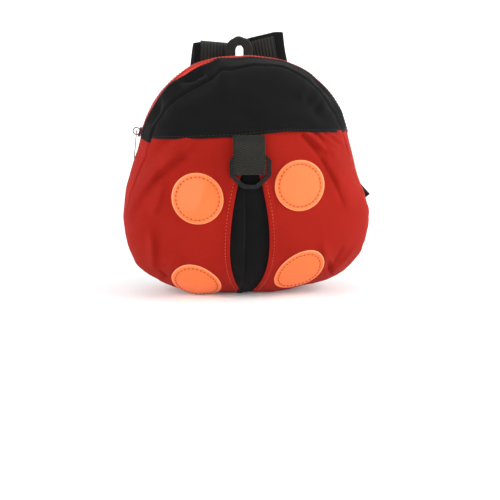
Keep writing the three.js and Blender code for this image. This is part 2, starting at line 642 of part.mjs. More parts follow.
// A flat strip swept along rows of a table. It lies between two distances from the table's line, on
// the strip's outer side, and its width direction turns from row to row by the row's roll in degrees.
function stripGeometry(rows, { width, outer, inner, steps, shift = 0, round = 0, cut = 0 }) {
  const places = rows.map(({ x, y, z }) => new THREE.Vector3(x, y, z));
  const line = new THREE.CatmullRomCurve3(places, false, 'centripetal');
  const rollAt = (t) => {
    const s = t * (rows.length - 1);
    const i = Math.min(Math.floor(s), rows.length - 2);
    return THREE.MathUtils.degToRad(THREE.MathUtils.lerp(rows[i].roll, rows[i + 1].roll, s - i));
  };
  const across = [-1, -1 + round, 1 - round, 1].filter((_, i) => round > 0 || i % 3 === 0);
  const section = (t) => {
    const along = line.getTangent(t);
    const roll = rollAt(t);
    const side = new THREE.Vector3(Math.cos(roll), 0, Math.sin(roll));
    side.addScaledVector(along, -side.dot(along)).normalize();
    const out = new THREE.Vector3().crossVectors(side, along);
    return { centre: line.getPoint(t), along, side, out };
  };
  const pointAt = (u, v, face) => {
    const { centre, along, side, out } = section(u);
    const place = across[Math.round(v * (across.length - 1))];
    const thin = Math.abs(place) === 1 && round > 0 ? 0.45 : 1;
    const middle = (outer + inner) / 2;
    const depth = middle + ((face ? inner : outer) - middle) * thin;
    const slant = u === 1 ? cut * place : 0;
    return centre.clone().addScaledVector(side, shift + (place * width) / 2).addScaledVector(out, depth)
      .addScaledVector(along, slant);
  };
  return sheetGeometry(pointAt, steps, across.length - 1);
}

// The lock at a strap's lower end hangs in line with the strap's last stretch.
function lockPlace(strap) {
  const end = strap[strap.length - 1];
  const before = strap[strap.length - 2];
  const place = new THREE.Group();
  const drop = new THREE.Vector3(end.x - before.x, end.y - before.y, end.z - before.z).normalize();
  place.rotation.order = 'YXZ';
  place.rotation.y = Math.atan2(-drop.x, -drop.z);
  place.rotation.x = Math.asin(drop.y);
  place.position.set(end.x, end.y, end.z).addScaledVector(drop, GAP + LOCK.height / 2);
  place.updateMatrix();
  return place;
}

// A ladder lock: a flat plastic frame with two slots and a bar between them
function addLock(side, place) {
  const { width, height, thickness, bar, slotWidth, slotHeight } = LOCK;
  const [w, h] = [width / 2, height / 2];
  const frame = new THREE.Shape();
  frame.moveTo(-w + 2, h);
  frame.lineTo(w - 2, h);
  frame.lineTo(w, h - 2);
  frame.lineTo(w - 1.5, -h);
  frame.lineTo(-w + 1.5, -h);
  frame.lineTo(-w, h - 2);
  for (const low of [bar / 2, -bar / 2 - slotHeight]) {
    const slot = new THREE.Path();
    slot.moveTo(-slotWidth / 2, low);
    slot.lineTo(slotWidth / 2, low);
    slot.lineTo(slotWidth / 2, low + slotHeight);
    slot.lineTo(-slotWidth / 2, low + slotHeight);
    frame.holes.push(slot);
  }
  const lock = new THREE.ExtrudeGeometry(frame, { depth: thickness, bevelEnabled: false });
  lock.translate(0, 0, -thickness / 2);
  lock.rotateX(Math.PI / 2);
  addPiece(`lock_${side}`, lock, BLACK_PLASTIC, place);
  backpack.add(place);
}

// The rows that take the lower webbing up behind a lock's bar, through the slot above it and down again
function lockTurn(place, roll) {
  const leg = LOCK.thickness / 2 + GAP + LOWER_WEBBING.thickness / 2;
  const top = LOCK.bar / 2;
  const turn = Array.from({ length: 7 }, (_, i) => (Math.PI * i) / 6);
  const points = [
    new THREE.Vector3(0, -leg, -LOCK.height / 2 - 3),
    new THREE.Vector3(0, -leg, -LOCK.height / 4),
    ...turn.map((angle) => new THREE.Vector3(0, -leg * Math.cos(angle), top + leg * Math.sin(angle))),
    new THREE.Vector3(0, leg, -LOCK.height / 4),
    new THREE.Vector3(0, leg, -LOCK.height / 2 - 3),
  ];
  return points.map((point) => ({ ...point.applyMatrix4(place.matrix), roll }));
}

function addStraps() {
  const padHalf = PAD.thickness / 2;
  const webInner = padHalf + GAP;
  const half = LOWER_WEBBING.thickness / 2;
  for (const { side, webShift, strap, lower, tail } of STRAPS) {
    const pad = { width: PAD.width, outer: padHalf, inner: -padHalf, steps: 24, round: 0.12 };
    addPiece(`strap_pad_${side}`, stripGeometry(strap, pad), BLACK_CLOTH);
    const outer = webInner + WEBBING.thickness;
    const web = { width: WEBBING.width, inner: webInner, outer, steps: 24, shift: webShift };
    addPiece(`strap_webbing_${side}`, stripGeometry(strap, web), BLACK_WEBBING);
    const place = lockPlace(strap);
    addLock(side, place);
    const route = [...lower, ...lockTurn(place, strap[strap.length - 1].roll), ...tail];
    const loose = { width: LOWER_WEBBING.width, outer: half, inner: -half, steps: 2 * route.length, cut: 3 };
    addPiece(`strap_lower_${side}`, stripGeometry(route, loose), BLACK_WEBBING);
  }
}

function addAnchorTabs() {
  const layer = solidOf(backSheet(-GAP - ANCHOR.thickness, -GAP));
  for (const [side, sign] of [['left', 1], ['right', -1]]) {
    const corners = ANCHOR.corners.map(([x, z]) => ({ x: sign * x, z }));
    addPiece(`anchor_tab_${side}`, geometryOf(layer.intersect(regionSolid(corners))), BLACK_CLOTH);
  }
}

addFrontPanels();
addSpots();
addGusset();
addZip();
addBackPanel();
addSlider();
addPull();
addRing();
addRingTab();
addHandle();
addStraps();
addAnchorTabs();

export default backpack;
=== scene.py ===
import math

import bmesh
import bpy
import numpy as np
from mathutils import Matrix, Vector


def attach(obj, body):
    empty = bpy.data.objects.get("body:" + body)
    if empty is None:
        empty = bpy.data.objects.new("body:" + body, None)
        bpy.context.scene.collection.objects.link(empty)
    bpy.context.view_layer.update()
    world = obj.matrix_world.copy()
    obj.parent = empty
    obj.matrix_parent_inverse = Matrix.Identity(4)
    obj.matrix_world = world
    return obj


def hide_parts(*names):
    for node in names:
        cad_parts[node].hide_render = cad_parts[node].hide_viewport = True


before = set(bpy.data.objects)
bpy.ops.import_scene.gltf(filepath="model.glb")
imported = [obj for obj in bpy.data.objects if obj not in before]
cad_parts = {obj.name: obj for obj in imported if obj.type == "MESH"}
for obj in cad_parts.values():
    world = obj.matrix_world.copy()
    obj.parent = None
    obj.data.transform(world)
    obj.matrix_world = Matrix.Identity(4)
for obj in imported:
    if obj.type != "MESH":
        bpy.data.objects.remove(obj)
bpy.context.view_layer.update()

# The camera stands a little to the left of the bag's front and looks slightly down, as in the photo.
# Its long lens, far back, keeps the bag's upright lines nearly parallel.
VIEW_TURN = math.radians(-5)
VIEW_RISE = math.radians(12)
VIEW_DISTANCE = 1.146
AIM_RIGHT, AIM_UP = 0.00388, 0.0393
to_right = Vector((math.cos(VIEW_TURN), math.sin(VIEW_TURN), 0))
to_camera = Vector((math.sin(VIEW_TURN), -math.cos(VIEW_TURN), 0)) * math.cos(VIEW_RISE)
to_camera.z = math.sin(VIEW_RISE)
to_top = to_camera.cross(to_right)
camera = bpy.data.objects.new("camera", bpy.data.cameras.new("camera"))
camera.data.lens = 85
camera.data.sensor_width = 36
camera.matrix_world = Matrix((to_right, to_top, to_camera)).transposed().to_4x4()
camera.location = to_right * AIM_RIGHT + to_top * AIM_UP + to_camera * VIEW_DISTANCE
bpy.context.scene.collection.objects.link(camera)
bpy.context.scene.camera = camera

# The studio. Tall soft boxes stand level with the bag at both sides, so its flanks and its folds stand
# out and its middle is darker. Two low strips at the front gleam in the vinyl, a wide box hangs over
# everything, and one lights the backdrop.
SOFT_BOXES = [
    # name, place, what it faces, width, height, watts
    ("side_left", (-1.3, -0.36, 0.62), (0, 0, 0.12), 0.7, 1.2, 15.5),
    ("side_right", (1.3, -0.3, 0.55), (0, 0, 0.12), 0.7, 1.2, 24.0),
    ("front_left", (-0.63, -1.14, 0.3), (0, 0, 0.12), 0.53, 0.7, 2.0),
    ("front_right", (0.6, -1.15, 0.3), (0, 0, 0.12), 0.72, 0.7, 2.1),
    ("over", (0.0, 0.4, 2.0), (0, 0.3, 0), 3.0, 3.0, 12.5),
    ("sweep", (0.0, 1.2, 1.6), (0, 3.2, 0.2), 3.0, 0.6, 42),
]
for name, place, target, width, height, watts in SOFT_BOXES:
    box = bpy.data.lights.new(name, "AREA")
    box.shape = "RECTANGLE"
    box.size = width
    box.size_y = height
    box.energy = watts
    light = bpy.data.objects.new(name, box)
    light.location = place
    light.rotation_euler = (Vector(target) - light.location).to_track_quat("-Z", "Y").to_euler()
    bpy.context.scene.collection.objects.link(light)
world = bpy.data.worlds.new("studio")
world.use_nodes = True
world.node_tree.nodes["Background"].inputs["Color"].default_value = (1, 1, 1, 1)
world.node_tree.nodes["Background"].inputs["Strength"].default_value = 0.25
bpy.context.scene.world = world
bpy.context.scene.view_settings.view_transform = "Standard"


# The two red wings: polyester cloth with thin foam behind it. They are sewn into the seam round the
# front and under the yoke, and their inner edges are turned in and stitched down over the black stripe.
class Wire:
    """One value in a material's nodes. Arithmetic on it adds Math nodes."""

    def __init__(self, tree, socket=None):
        self.tree = tree
        self.socket = socket

    def node(self, kind, settings=(), sockets=(), output=0):
        """A node of that kind, with its settings made first and then its sockets' values or wires."""
        made = self.tree.nodes.new("ShaderNode" + kind)
        for name, value in dict(settings).items():
            setattr(made, name, value)
        for name, value in dict(sockets).items():
            if isinstance(value, Wire):
                self.tree.links.new(value.socket, made.inputs[name])
            else:
                made.inputs[name].default_value = value
        return Wire(self.tree, made.outputs[output])

    def math(self, operation, *values):
        """A Math node of that operation on wires or numbers."""
        return self.node("Math", {"operation": operation}, enumerate(values))

    def __add__(self, other):
        return self.math("ADD", self, other)

    __radd__ = __add__

    def __mul__(self, other):
        return self.math("MULTIPLY", self, other)

    def sine(self):
        return self.math("SINE", self)

    def mixed(self, low, high):
        """The colour between low and high that this share picks."""
        return self.node("Mix", {"data_type": "RGBA"}, {0: self, 6: low, 7: high}, 2)


class Finish:
    """A material, under a slot name that nothing here reads: its shader's constant sockets, and wires to what
    varies.
    """

    def __init__(self, name, slot=None, **constants):
        self.slot = slot or name
        self.material = bpy.data.materials.new(name)
        self.material.use_nodes = True
        self.shader = self.material.node_tree.nodes["Principled BSDF"]
        self.wire = Wire(self.material.node_tree)
        for socket, value in constants.items():
            self.shader.inputs[socket.replace("_", " ")].default_value = value

    def place(self):
        """Object coordinates, in metres."""
        return self.wire.node("TexCoord", output="Object")

    def noise(self, size, detail=2):
        """Soft noise from 0 to 1 whose lumps are about that large, in metres."""
        return self.wire.node("TexNoise", (), {"Vector": self.place(), "Scale": 1 / size, "Detail": detail})

    def grain(self):
        """The two directions of the cloth on its piece, across and along, in millimetres."""
        uv = self.wire.node("UVMap", {"uv_map": "UVMap"})
        across = self.wire.node("SeparateXYZ", (), {0: uv}, "X")
        return across, Wire(self.wire.tree, across.socket.node.outputs["Y"])

    def edge(self):
        """1 at the piece's seams and turned edges, and 0 away from them."""
        return self.wire.node("Attribute", {"attribute_name": "edge"}, (), "Fac")

    def feed(self, colour, roughness, height, depth):
        """Links colour and roughness, and a bump of height times depth, in metres."""
        bump = self.wire.node("Bump", (), {"Height": height, "Strength": 1.0, "Distance": depth}, "Normal")
        for socket, value in (("Base Color", colour), ("Roughness", roughness), ("Normal", bump)):
            self.wire.tree.links.new(value.socket, self.shader.inputs[socket])


MM = 0.001
BAG_MIDDLE = (0, 0, 100)
FRONT_Y = -52
BACK_Y = 31
MIDDLE_Z = 85
OUTLINE = np.array([
    # x, z, lean, curl, seam y, round, tuck, from the middle of the base up the right side
    (0, -2.5, 0, 0, -5, 0.6, 0),
    (44, 3, 0, 0, -5, 0.6, 0),
    (82, 11.5, 0.5, 1, -6, 0.57, 3),
    (106.5, 28, 3.2, 0, -8, 0.53, 5),
    (119, 54, 4.2, 0, -10, 0.5, 6),
    (118.5, 82, 1.5, 1, -12, 0.5, 6),
    (109, 110, 1, 4, -15, 0.52, 6),
    (101.5, 138, 2, 5, -18, 0.55, 6),
    (93.5, 165, 2, 6, -19, 0.57, 6),
    (80.5, 189.5, 3, 6, -20, 0.6, 6),
    (60, 208, 3, 3, -20, 0.6, 6),
    (32.5, 220.5, 3, 2, -20, 0.6, 6),
    (2, 224, 4, 3, -20, 0.6, 6),
    (-29.5, 221.5, 9, 6, -20, 0.6, 6),
    (-57, 211.5, 16, 1, -20, 0.6, 6),
    (-78.5, 191.5, 9, 4, -20, 0.6, 6),
    (-92.5, 168.5, 3, 6, -19, 0.57, 6),
    (-101, 143, 2, 7, -18, 0.55, 6),
    (-109, 117, 1, 6, -15, 0.52, 6),
    (-116, 87, 0.5, 3, -12, 0.5, 6),
    (-116, 58, 0.5, 1.5, -10, 0.5, 6),
    (-106, 29, 0.5, 1.5, -8, 0.53, 5),
    (-81.5, 10.5, 0.5, 1, -6, 0.57, 3),
    (-44, -1, 0, 0, -5, 0.6, 0),
])
X, Z, LEAN, CURL, SEAM_Y, ROUND, TUCK = range(7)
STATIONS = len(OUTLINE)
STATION_LENGTH = 29.3
FOLD_DEPTH = 2.6
CREASES = [
    # from x, z, to x, z, width, rise as a share of FOLD_DEPTH: the gathers under the yoke's right end first
    (52, 157, 80, 137, 3.4, 1.3),
    (49, 155, 68, 138, 2.6, -1.3),
    (60, 157, 72, 143, 2.2, -1.2),
    (69, 156, 91, 140, 2.4, -1.4),
    (66, 157, 84, 143, 2.6, 1.2),
    (77, 157, 96, 146, 2.2, -1.3),
    (74, 157, 95, 141, 2.6, 1.3),
    (84, 157, 100, 143, 2.6, 1.2),
    (56, 146, 69, 129, 1.9, -0.9),
    (69, 129, 80, 109, 2.1, -0.8),
    (80, 109, 87, 90, 2.4, -0.6),
    (66, 140, 84, 112, 5, 1.0),
    (82, 120, 96, 92, 7, 1.0),
    (80, 134, 98, 108, 6, 1.3),
    (-75, 149, -93, 130, 6, -2.2),
    (-58, 148, -87, 122, 7, 2.3),
    (-87, 122, -101, 104, 6, 2.0),
    (-61, 136, -82, 117, 5.5, -1.8),
    (-82, 117, -109, 82, 6, -2.1),
    (-79, 113, -88, 87, 3.6, 1.5),
    (-97, 89, -112, 79, 5, -1.8),
    (-100, 76, -112, 62, 7, 1.2),
    (-91, 62, -90, 32, 3.2, 1.5),
    (-82, 70, -84, 38, 6, -0.8),
    (-82, 27, -78, 23, 1.6, -1.4),
    (-78, 23, -83, 18, 1.6, -1.6),
    (-73, 30, -66, 42, 4, 0.9),
    (75, 35, 77, 27, 1.8, -1.6),
    (77, 27, 81, 19, 1.6, -1.8),
    (82, 21, 104, 47, 3.2, 1.3),
    (88, 20, 108, 40, 2.4, -0.9),
    (79, 30, 86, 46, 3, -0.8),
    (74, 36, 69, 52, 4, 0.9),
]
YOKE_CREASES = [
    (-76, 186, -40, 203, 7, -3.2),
    (-70, 176, -40, 190, 7, 1.3),
    (-60, 203, -38, 208, 4, 2.2),
    (88, 178, 70, 190, 3, -1.6),
    (92, 170, 76, 178, 3, 1.2),
    (66, 199, 54, 188, 4, -1.3),
    (58, 206, 48, 192, 4, 1.1),
    (84, 186, 62, 168, 8, 1.2),
    (60, 178, 84, 160, 6, -0.9),
    (-30, 196, 34, 176, 20, 1.2),
    (-20, 178, 10, 168, 12, -0.7),
    (20, 190, 62, 182, 9, -0.8),
    (76, 192, 60, 176, 3.4, -1.2),
]
YOKE_EDGE = np.array([
    # x, z
    (-125, 150), (-90, 151.3), (-43, 153.2), (-10, 154.8), (34, 159.2), (87, 155.4), (125, 153),
])
STRIPE_X = -0.5
STRIPE_HALF = np.array([
    # z, half the stripe's width there
    (0, 3), (5, 5.6), (12, 10.5), (28, 16), (45, 18.2), (67, 17.9), (88, 15.5), (108, 11.6), (124, 7),
    (140, 2), (160, 0.6), (180, 0.6),
])
UNDER_YOKE = 2
WING_FOOT = 3.2
WING_CORNER = 2.2
# the stations between which the front seam passes the yoke's edge
YOKE_RIGHT, YOKE_LEFT = (6.6, 8.6), (15.2, 17.4)


def smooth_rows(rows, column, station):
    """A column of a closed table at a station, smooth through its rows."""
    low = np.floor(station).astype(int)
    t = station - low
    p0, p1, p2, p3 = (rows[(low + step) % len(rows), column] for step in (-1, 0, 1, 2))
    square = (2 * p0 - 5 * p1 + 4 * p2 - p3) * t**2
    cube = (3 * p1 - 3 * p2 + p3 - p0) * t**3
    return 0.5 * (2 * p1 + (p2 - p0) * t + square + cube)


def around(column, station):
    """A measure of the bag's outline at a station."""
    return smooth_rows(OUTLINE, column, station)


def bump(value, width):
    """A smooth rise to 1 where value is 0, gone at about twice the width."""
    return np.exp(-((value / width) ** 2))


def outward(station):
    """The outline's outward direction at a station, as its x and z."""
    dx = around(X, station + 0.02) - around(X, station - 0.02)
    dz = around(Z, station + 0.02) - around(Z, station - 0.02)
    return dz / np.hypot(dx, dz), -dx / np.hypot(dx, dz)


def gusset_line(station, share, proud=0.0):
    """A point of the gusset between the front seam, at share 0, and the back seam, at share 1."""
    out_x, out_z = outward(station)
    front = np.maximum(0, 1 - 2 * share)
    back = np.maximum(0, 2 * share - 1)
    inset = around(LEAN, station) * front + around(CURL, station) * front**2
    inset = inset + around(TUCK, station) * back**2 - proud
    y = around(SEAM_Y, station) + (BACK_Y - around(SEAM_Y, station)) * share
    z = around(Z, station) - out_z * inset
    return around(X, station) - out_x * inset, y, np.maximum(z, 0)


def seam_table(share):
    """The turn about the middle and the reach from it of a seam at each station."""
    station = np.arange(0, STATIONS + 0.001, 0.01)
    x, _, z = gusset_line(station, share)
    turn = (np.arctan2(z - MIDDLE_Z, x) + math.pi / 2) % (2 * math.pi)
    turn[0], turn[-1] = 0, 2 * math.pi
    return turn, station, np.hypot(x, z - MIDDLE_Z)


FRONT_SEAM = seam_table(0.0)
BACK_SEAM = seam_table(1.0)


def on_seam(x, z, seam):
    """The station and the share of the way from the middle to the seam, at x and z."""
    turn = (np.arctan2(z - MIDDLE_Z, x) + math.pi / 2) % (2 * math.pi)
    station = np.interp(turn, seam[0], seam[1])
    return station, np.minimum(np.hypot(x, z - MIDDLE_Z) / np.interp(turn, seam[0], seam[2]), 1)


def crease(table, x, z):
    """How far a table's ridges stand out at x and z. Its valleys are below 0."""
    rise = np.zeros_like(x)
    for from_x, from_z, to_x, to_z, width, height in table:
        ax, az = to_x - from_x, to_z - from_z
        t = np.clip(((x - from_x) * ax + (z - from_z) * az) / (ax * ax + az * az), 0, 1)
        away = np.hypot(x - from_x - ax * t, z - from_z - az * t) / width
        swell = 0.55 + 0.45 * np.sin(math.pi * np.clip(t, 0.15, 0.85))
        rise += FOLD_DEPTH * height * bump(away, 1) * swell
    return rise


def ripple(a):
    """An uneven wave without a repeat, between about -1 and 1."""
    return (np.sin(a) + 0.6 * np.sin(1.73 * a + 1.3) + 0.4 * np.sin(2.91 * a + 0.4)) / 2


def seam_pull(station, y, seam_y):
    """How far cloth dips at a seam, and the puckers that the thread pulls beside it, in millimetres."""
    away = np.abs(y - seam_y)
    fine = 0.5 * ripple(station * 11) * np.exp(-away / 5)
    broad = 0.8 * ripple(station * 4.3 + 2) * np.exp(-away / 12)
    return 2.3 * bump(away, 1.4) + fine + broad


def front_sheet(x, z, proud=0.0, folds=CREASES):
    """Points of the front at x and z, and their grain, proud of its plain shape by some millimetres."""
    station, radius = on_seam(x, z, FRONT_SEAM)
    seam_y = around(SEAM_Y, station)
    y = seam_y - (seam_y - FRONT_Y) * (1 - radius**2) ** around(ROUND, station)
    y = y - (crease(folds, x, z) + proud) * (1 - radius**8)
    pull = seam_pull(station, y, seam_y)
    out_x, out_z = outward(station)
    points = np.stack([x - out_x * pull, y, np.maximum(z - out_z * pull, 0.1)], -1)
    unrolled = 1 + 0.42 * radius**6
    return points, np.stack([x * unrolled, (z - MIDDLE_Z) * unrolled], -1)


def at_seam(x, z, points):
    """1 where points of the front meet its seam, and 0 away from it."""
    station, _ = on_seam(x, z, FRONT_SEAM)
    return np.exp(-np.abs(points[:, 1] - around(SEAM_Y, station)) / 1.3)


def hem(away, stand=1.3, turned=6.5, stitch=4.6):
    """The relief of a turned edge at a distance from it: a round nose, a double layer, a stitch line."""
    nose = -stand * np.clip(1 - away / stand, 0, 1) ** 2
    double = 0.7 / (1 + np.exp((away - turned) * 2.5))
    return nose + double - 0.55 * bump(away - stitch, 0.8)


def kinked(points):
    """Points of the top of the bag, lifted where its upper left seam has been pushed out of line."""
    x, y, z = points.T
    near = bump(z - 204, 22) * np.clip((6 - y) / 12, 0, 1)
    lift = 5.5 * bump(x + 24, 7.5) + 3.2 * bump(x + 70, 15)
    return points + np.stack([0 * x, 0 * x, lift * near], -1)


def yoke_z(x):
    """The height of the yoke's lower edge."""
    return np.interp(x, YOKE_EDGE[:, 0], YOKE_EDGE[:, 1])


def stripe_half(z):
    """Half the width of the black stripe at a height, rounded over its table's corners."""
    return sum(np.interp(z + step, STRIPE_HALF[:, 0], STRIPE_HALF[:, 1]) for step in (-6, -2, 2, 6)) / 4


def dense(t):
    """Spreads t so that it is closely spaced at both ends."""
    return (1 - np.cos(math.pi * t)) / 2


def station_at_yoke(low, high, over):
    """The station between two where the front seam passes a height over the yoke's edge."""
    station = np.linspace(low, high, 400)
    x, _, z = gusset_line(station, 0.0)
    above = z - yoke_z(x) - over
    order = np.argsort(above)
    return float(np.interp(0, above[order], station[order]))


def run_of(points):
    """The length along a line of points, up to each."""
    return np.concatenate([[0], np.cumsum(np.linalg.norm(np.diff(points, axis=0), axis=1))])


def into_scene(name, bm):
    """An object made of a mesh, shaded smooth."""
    for face in bm.faces:
        face.smooth = True
    mesh = bpy.data.meshes.new(name)
    bm.to_mesh(mesh)
    bm.free()
    made = bpy.data.objects.new(name, mesh)
    bpy.context.scene.collection.objects.link(made)
    return made


cuts = {}


def cloth_grid(name, across, along, place, wall=1.4):
    """A sheet from a grid whose points move to place(u, v), in millimetres, with u and v from 0 to 1.

    place gives points, their grain and, where it has one, how near each is to a seam or an edge.
    """
    bm = bmesh.new()
    bmesh.ops.create_grid(bm, x_segments=across, y_segments=along, size=0.5)
    flat = np.array([v.co[:2] for v in bm.verts]) + 0.5
    points, grain, *rest = place(flat[:, 0], flat[:, 1])
    edge = rest[0] if rest else np.zeros(len(points))
    uv = bm.loops.layers.uv.new("UVMap")
    near = bm.verts.layers.float.new("edge")
    for vert, point, amount in zip(bm.verts, points * MM, edge):
        vert.co = point
        vert[near] = amount
    for face in bm.faces:
        for loop in face.loops:
            loop[uv].uv = grain[loop.vert.index]
    size = np.ptp(grain, axis=0) * MM
    area = min(sum(face.calc_area() for face in bm.faces), size[0] * size[1])
    cuts[name] = {"flat": tuple(size), "area": area}
    bmesh.ops.remove_doubles(bm, verts=bm.verts, dist=2e-6)
    middle = Vector(BAG_MIDDLE) * MM
    if sum((f.calc_center_median() - middle).dot(f.normal) * f.calc_area() for f in bm.faces) < 0:
        bmesh.ops.reverse_faces(bm, faces=bm.faces)
    made = into_scene(name, bm)
    if wall:
        thick = made.modifiers.new("wall", "SOLIDIFY")
        thick.thickness = wall * MM
        thick.offset = -1
    return made


def sewn_in(made, finish, *nodes, body="root"):
    """Gives a piece its finish, and lets it ride in place of its CAD nodes."""
    made.data.materials.append(finish.material)
    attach(made, body)
    if nodes:
        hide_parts(*nodes)
    return made


def sewn_sheet(name, across, along, place, finish, node, wall=1.4):
    """A cloth_grid in its finish, in place of its CAD node, with its flat cut noted in cuts."""
    made = cloth_grid(name, across, along, place, wall)
    sewn_in(made, finish, node)


def stitches(name, sheet, line, finish, pitch=3.3, length=2.2, thread=0.5):
    """A row of sewn thread on a sheet(u, v) along line(t), which gives u and v: a bead for each stitch."""
    t = np.linspace(0, 1, 900)
    run = run_of(sheet(*line(t))[0])
    count = max(2, int(run[-1] / pitch))
    middle = np.interp((np.arange(count) + 0.5) * run[-1] / count, run, t)
    u, v = line(middle)
    centre = sheet(u, v)[0]
    to_u = sheet(u + 1e-3, v)[0] - centre
    to_v = sheet(u, v + 1e-3)[0] - centre
    before, after = (sheet(*line(np.clip(middle + step, 0, 1)))[0] for step in (-2e-3, 2e-3))
    size = Matrix.Diagonal((length / 2 * MM, thread * MM, thread * MM, 1))
    bm = bmesh.new()
    for here, du, dv, low, high in zip(centre, to_u, to_v, before, after):
        out = Vector(np.cross(du, dv)).normalized()
        if out.dot(Vector(here) - Vector(BAG_MIDDLE)) < 0:
            out = -out
        along = Vector(high - low).normalized()
        side = out.cross(along).normalized()
        turn = Matrix((along, side, along.cross(side))).transposed().to_4x4()
        where = Matrix.Translation((Vector(here) + out * thread * 0.5) * MM)
        bmesh.ops.create_uvsphere(bm, u_segments=6, v_segments=4, radius=1, matrix=where @ turn @ size)
    return sewn_in(into_scene(name, bm), finish)


def line_along(sheet, low, high, reach, away, distance):
    """A line(t) along a sheet, from u low to high, where away(x, z) has that distance."""
    u = np.linspace(low, high, 60)
    v = np.linspace(0, reach, 150)
    points = sheet(np.repeat(u, len(v)), np.tile(v, len(u)))[0].reshape(len(u), len(v), 3)
    found = np.array([np.interp(distance, row, v) for row in away(points[..., 0], points[..., 2])])
    return lambda t: (low + (high - low) * t, np.interp(low + (high - low) * t, u, found))


def cloth_finish(name, deep, light, painted_edge_tone, sheen):
    """Plain woven polyester: fine threads and uneven dye, with its seams and turned edges mixed towards an
    edge colour: painted shade where that colour is darker, a painted highlight where it is paler.
    """
    finish = Finish(name, Sheen_Weight=sheen, Sheen_Roughness=0.35, Specular_IOR_Level=0.1)
    across, along = finish.grain()
    thread = 2 * math.pi / 0.62
    weave = (across * thread).sine() * (along * thread).sine()
    slub = finish.noise(0.0011, 4)
    dye = finish.noise(0.03)
    colour = (dye * 0.4 + slub * 0.6 + weave * 0.08).mixed(deep, light)
    # Painted light: seams, turned edges and folds take the edge colour, painted shade where it is darker and
    # a painted highlight where it is paler.
    colour = (finish.edge() * 0.7).mixed(colour, painted_edge_tone)
    finish.feed(colour, 0.68 + slub * 0.22, weave * 0.3 + slub, 0.00026)
    return finish


def thread_finish(name, slot, colour):
    """Spun sewing thread, with a slight gloss."""
    finish = Finish(name, slot, Specular_IOR_Level=0.4)
    twist = finish.noise(0.0007)
    finish.feed(twist.mixed([c * 0.8 for c in colour[:3]] + [1], colour), 0.5 + twist * 0.2, twist, 0.00008)
    return finish


# The red cloth's edge colour is darker: painted shade in its seams and on its turned edges.
RED_CLOTH = cloth_finish("red_cloth", deep=(0.23, 0.006, 0.0025, 1), light=(0.41, 0.014, 0.006, 1),
                         painted_edge_tone=(0.15, 0.004, 0.002, 1), sheen=0.03)
RED_THREAD = thread_finish("red_thread", "red_cloth", (0.55, 0.04, 0.02, 1))


def wing_sheet(sign):
    """The wing on one side, with u from the base to the yoke and v from the stripe to the outer seam."""
    top = station_at_yoke(*(YOKE_RIGHT if sign > 0 else YOKE_LEFT), UNDER_YOKE)
    corner = WING_CORNER if sign > 0 else STATIONS - WING_CORNER
    base = np.linspace(-0.9, 0.9, 200)
    foot = np.interp(STRIPE_X + sign * WING_FOOT, gusset_line(base, 0.0)[0], base)
    foot += 0 if sign > 0 else STATIONS
    start_x = STRIPE_X + sign * (stripe_half(157) + 0.2)

    def seam(station):
        x, _, z = gusset_line(station, 0.0)
        return np.stack([x, z], -1)

    def place(u, v):
        u, v = dense(u), dense(v)
        outer = seam(corner + (top - corner) * u)
        bottom = seam(foot + (corner - foot) * v)
        height = (yoke_z(STRIPE_X) + UNDER_YOKE) * u
        inner = np.stack([STRIPE_X + sign * (stripe_half(height) + 0.2), height], -1)
        end = seam(np.array([top]))[0]
        edge_x = start_x + (end[0] - start_x) * v
        upper = np.stack([edge_x, yoke_z(edge_x) + UNDER_YOKE], -1)
        upper[:, 1] = np.where(v > 0.999, end[1], upper[:, 1])
        first, last = seam(np.array([foot]))[0], np.array([start_x, yoke_z(start_x) + UNDER_YOKE])
        low_out = seam(np.array([corner]))[0]
        u_, v_ = u[:, None], v[:, None]
        flat = (1 - v_) * inner + v_ * outer + (1 - u_) * bottom + u_ * upper
        flat -= (1 - u_) * (1 - v_) * first + (1 - u_) * v_ * low_out + u_ * (1 - v_) * last + u_ * v_ * end
        x, z = flat[:, 0], np.maximum(flat[:, 1], 0)
        away = np.abs(x - STRIPE_X) - stripe_half(z)
        under = np.maximum(0, z - yoke_z(x) + 1)
        points, grain = front_sheet(x, z, hem(np.maximum(away, 0)) - 0.35 * under)
        return points, grain, np.exp(-np.maximum(away, 0) / 1.2) * 0.4 + at_seam(x, z, points)

    return place


for side, sign in (("left", -1), ("right", 1)):
    sheet = wing_sheet(sign)
    sewn_sheet(f"wing_cloth_{side}", 96, 96, sheet, RED_CLOTH, f"wing_{side}")
    line = line_along(sheet, 0.06, 0.89, 0.5, lambda x, z: np.abs(x - STRIPE_X) - stripe_half(z), 4.6)
    stitches(f"wing_stitches_{side}", sheet, line, RED_THREAD)

# The stripe: one piece of black polyester cloth, pleated once along its length. It lies behind the
# wings' edges and is caught by their stitches, so only its middle shows.
# The black cloth's edge colour is paler: a painted highlight on its seams, turned edges and folds.
BLACK_CLOTH = cloth_finish("black_cloth", deep=(0.0015, 0.0015, 0.0016, 1), light=(0.007, 0.007, 0.0075, 1),
                           painted_edge_tone=(0.016, 0.016, 0.017, 1), sheen=0.04)
BLACK_THREAD = thread_finish("black_thread", "black_cloth", (0.014, 0.014, 0.015, 1))
PLEAT_X = -6.2
PLEAT_TOP = 100
PLEAT_KNOTS = [0, 0.34, 0.38, 0.42, 0.52, 0.56, 0.6, 1]
PLEAT_SHIFT = [0, 0, 0.5, 0, -1, -1.4, -1, 0]
PLEAT_DEPTH = [1.3, 0.2, 0.45, 1, 1, 1.5, 2, 2]


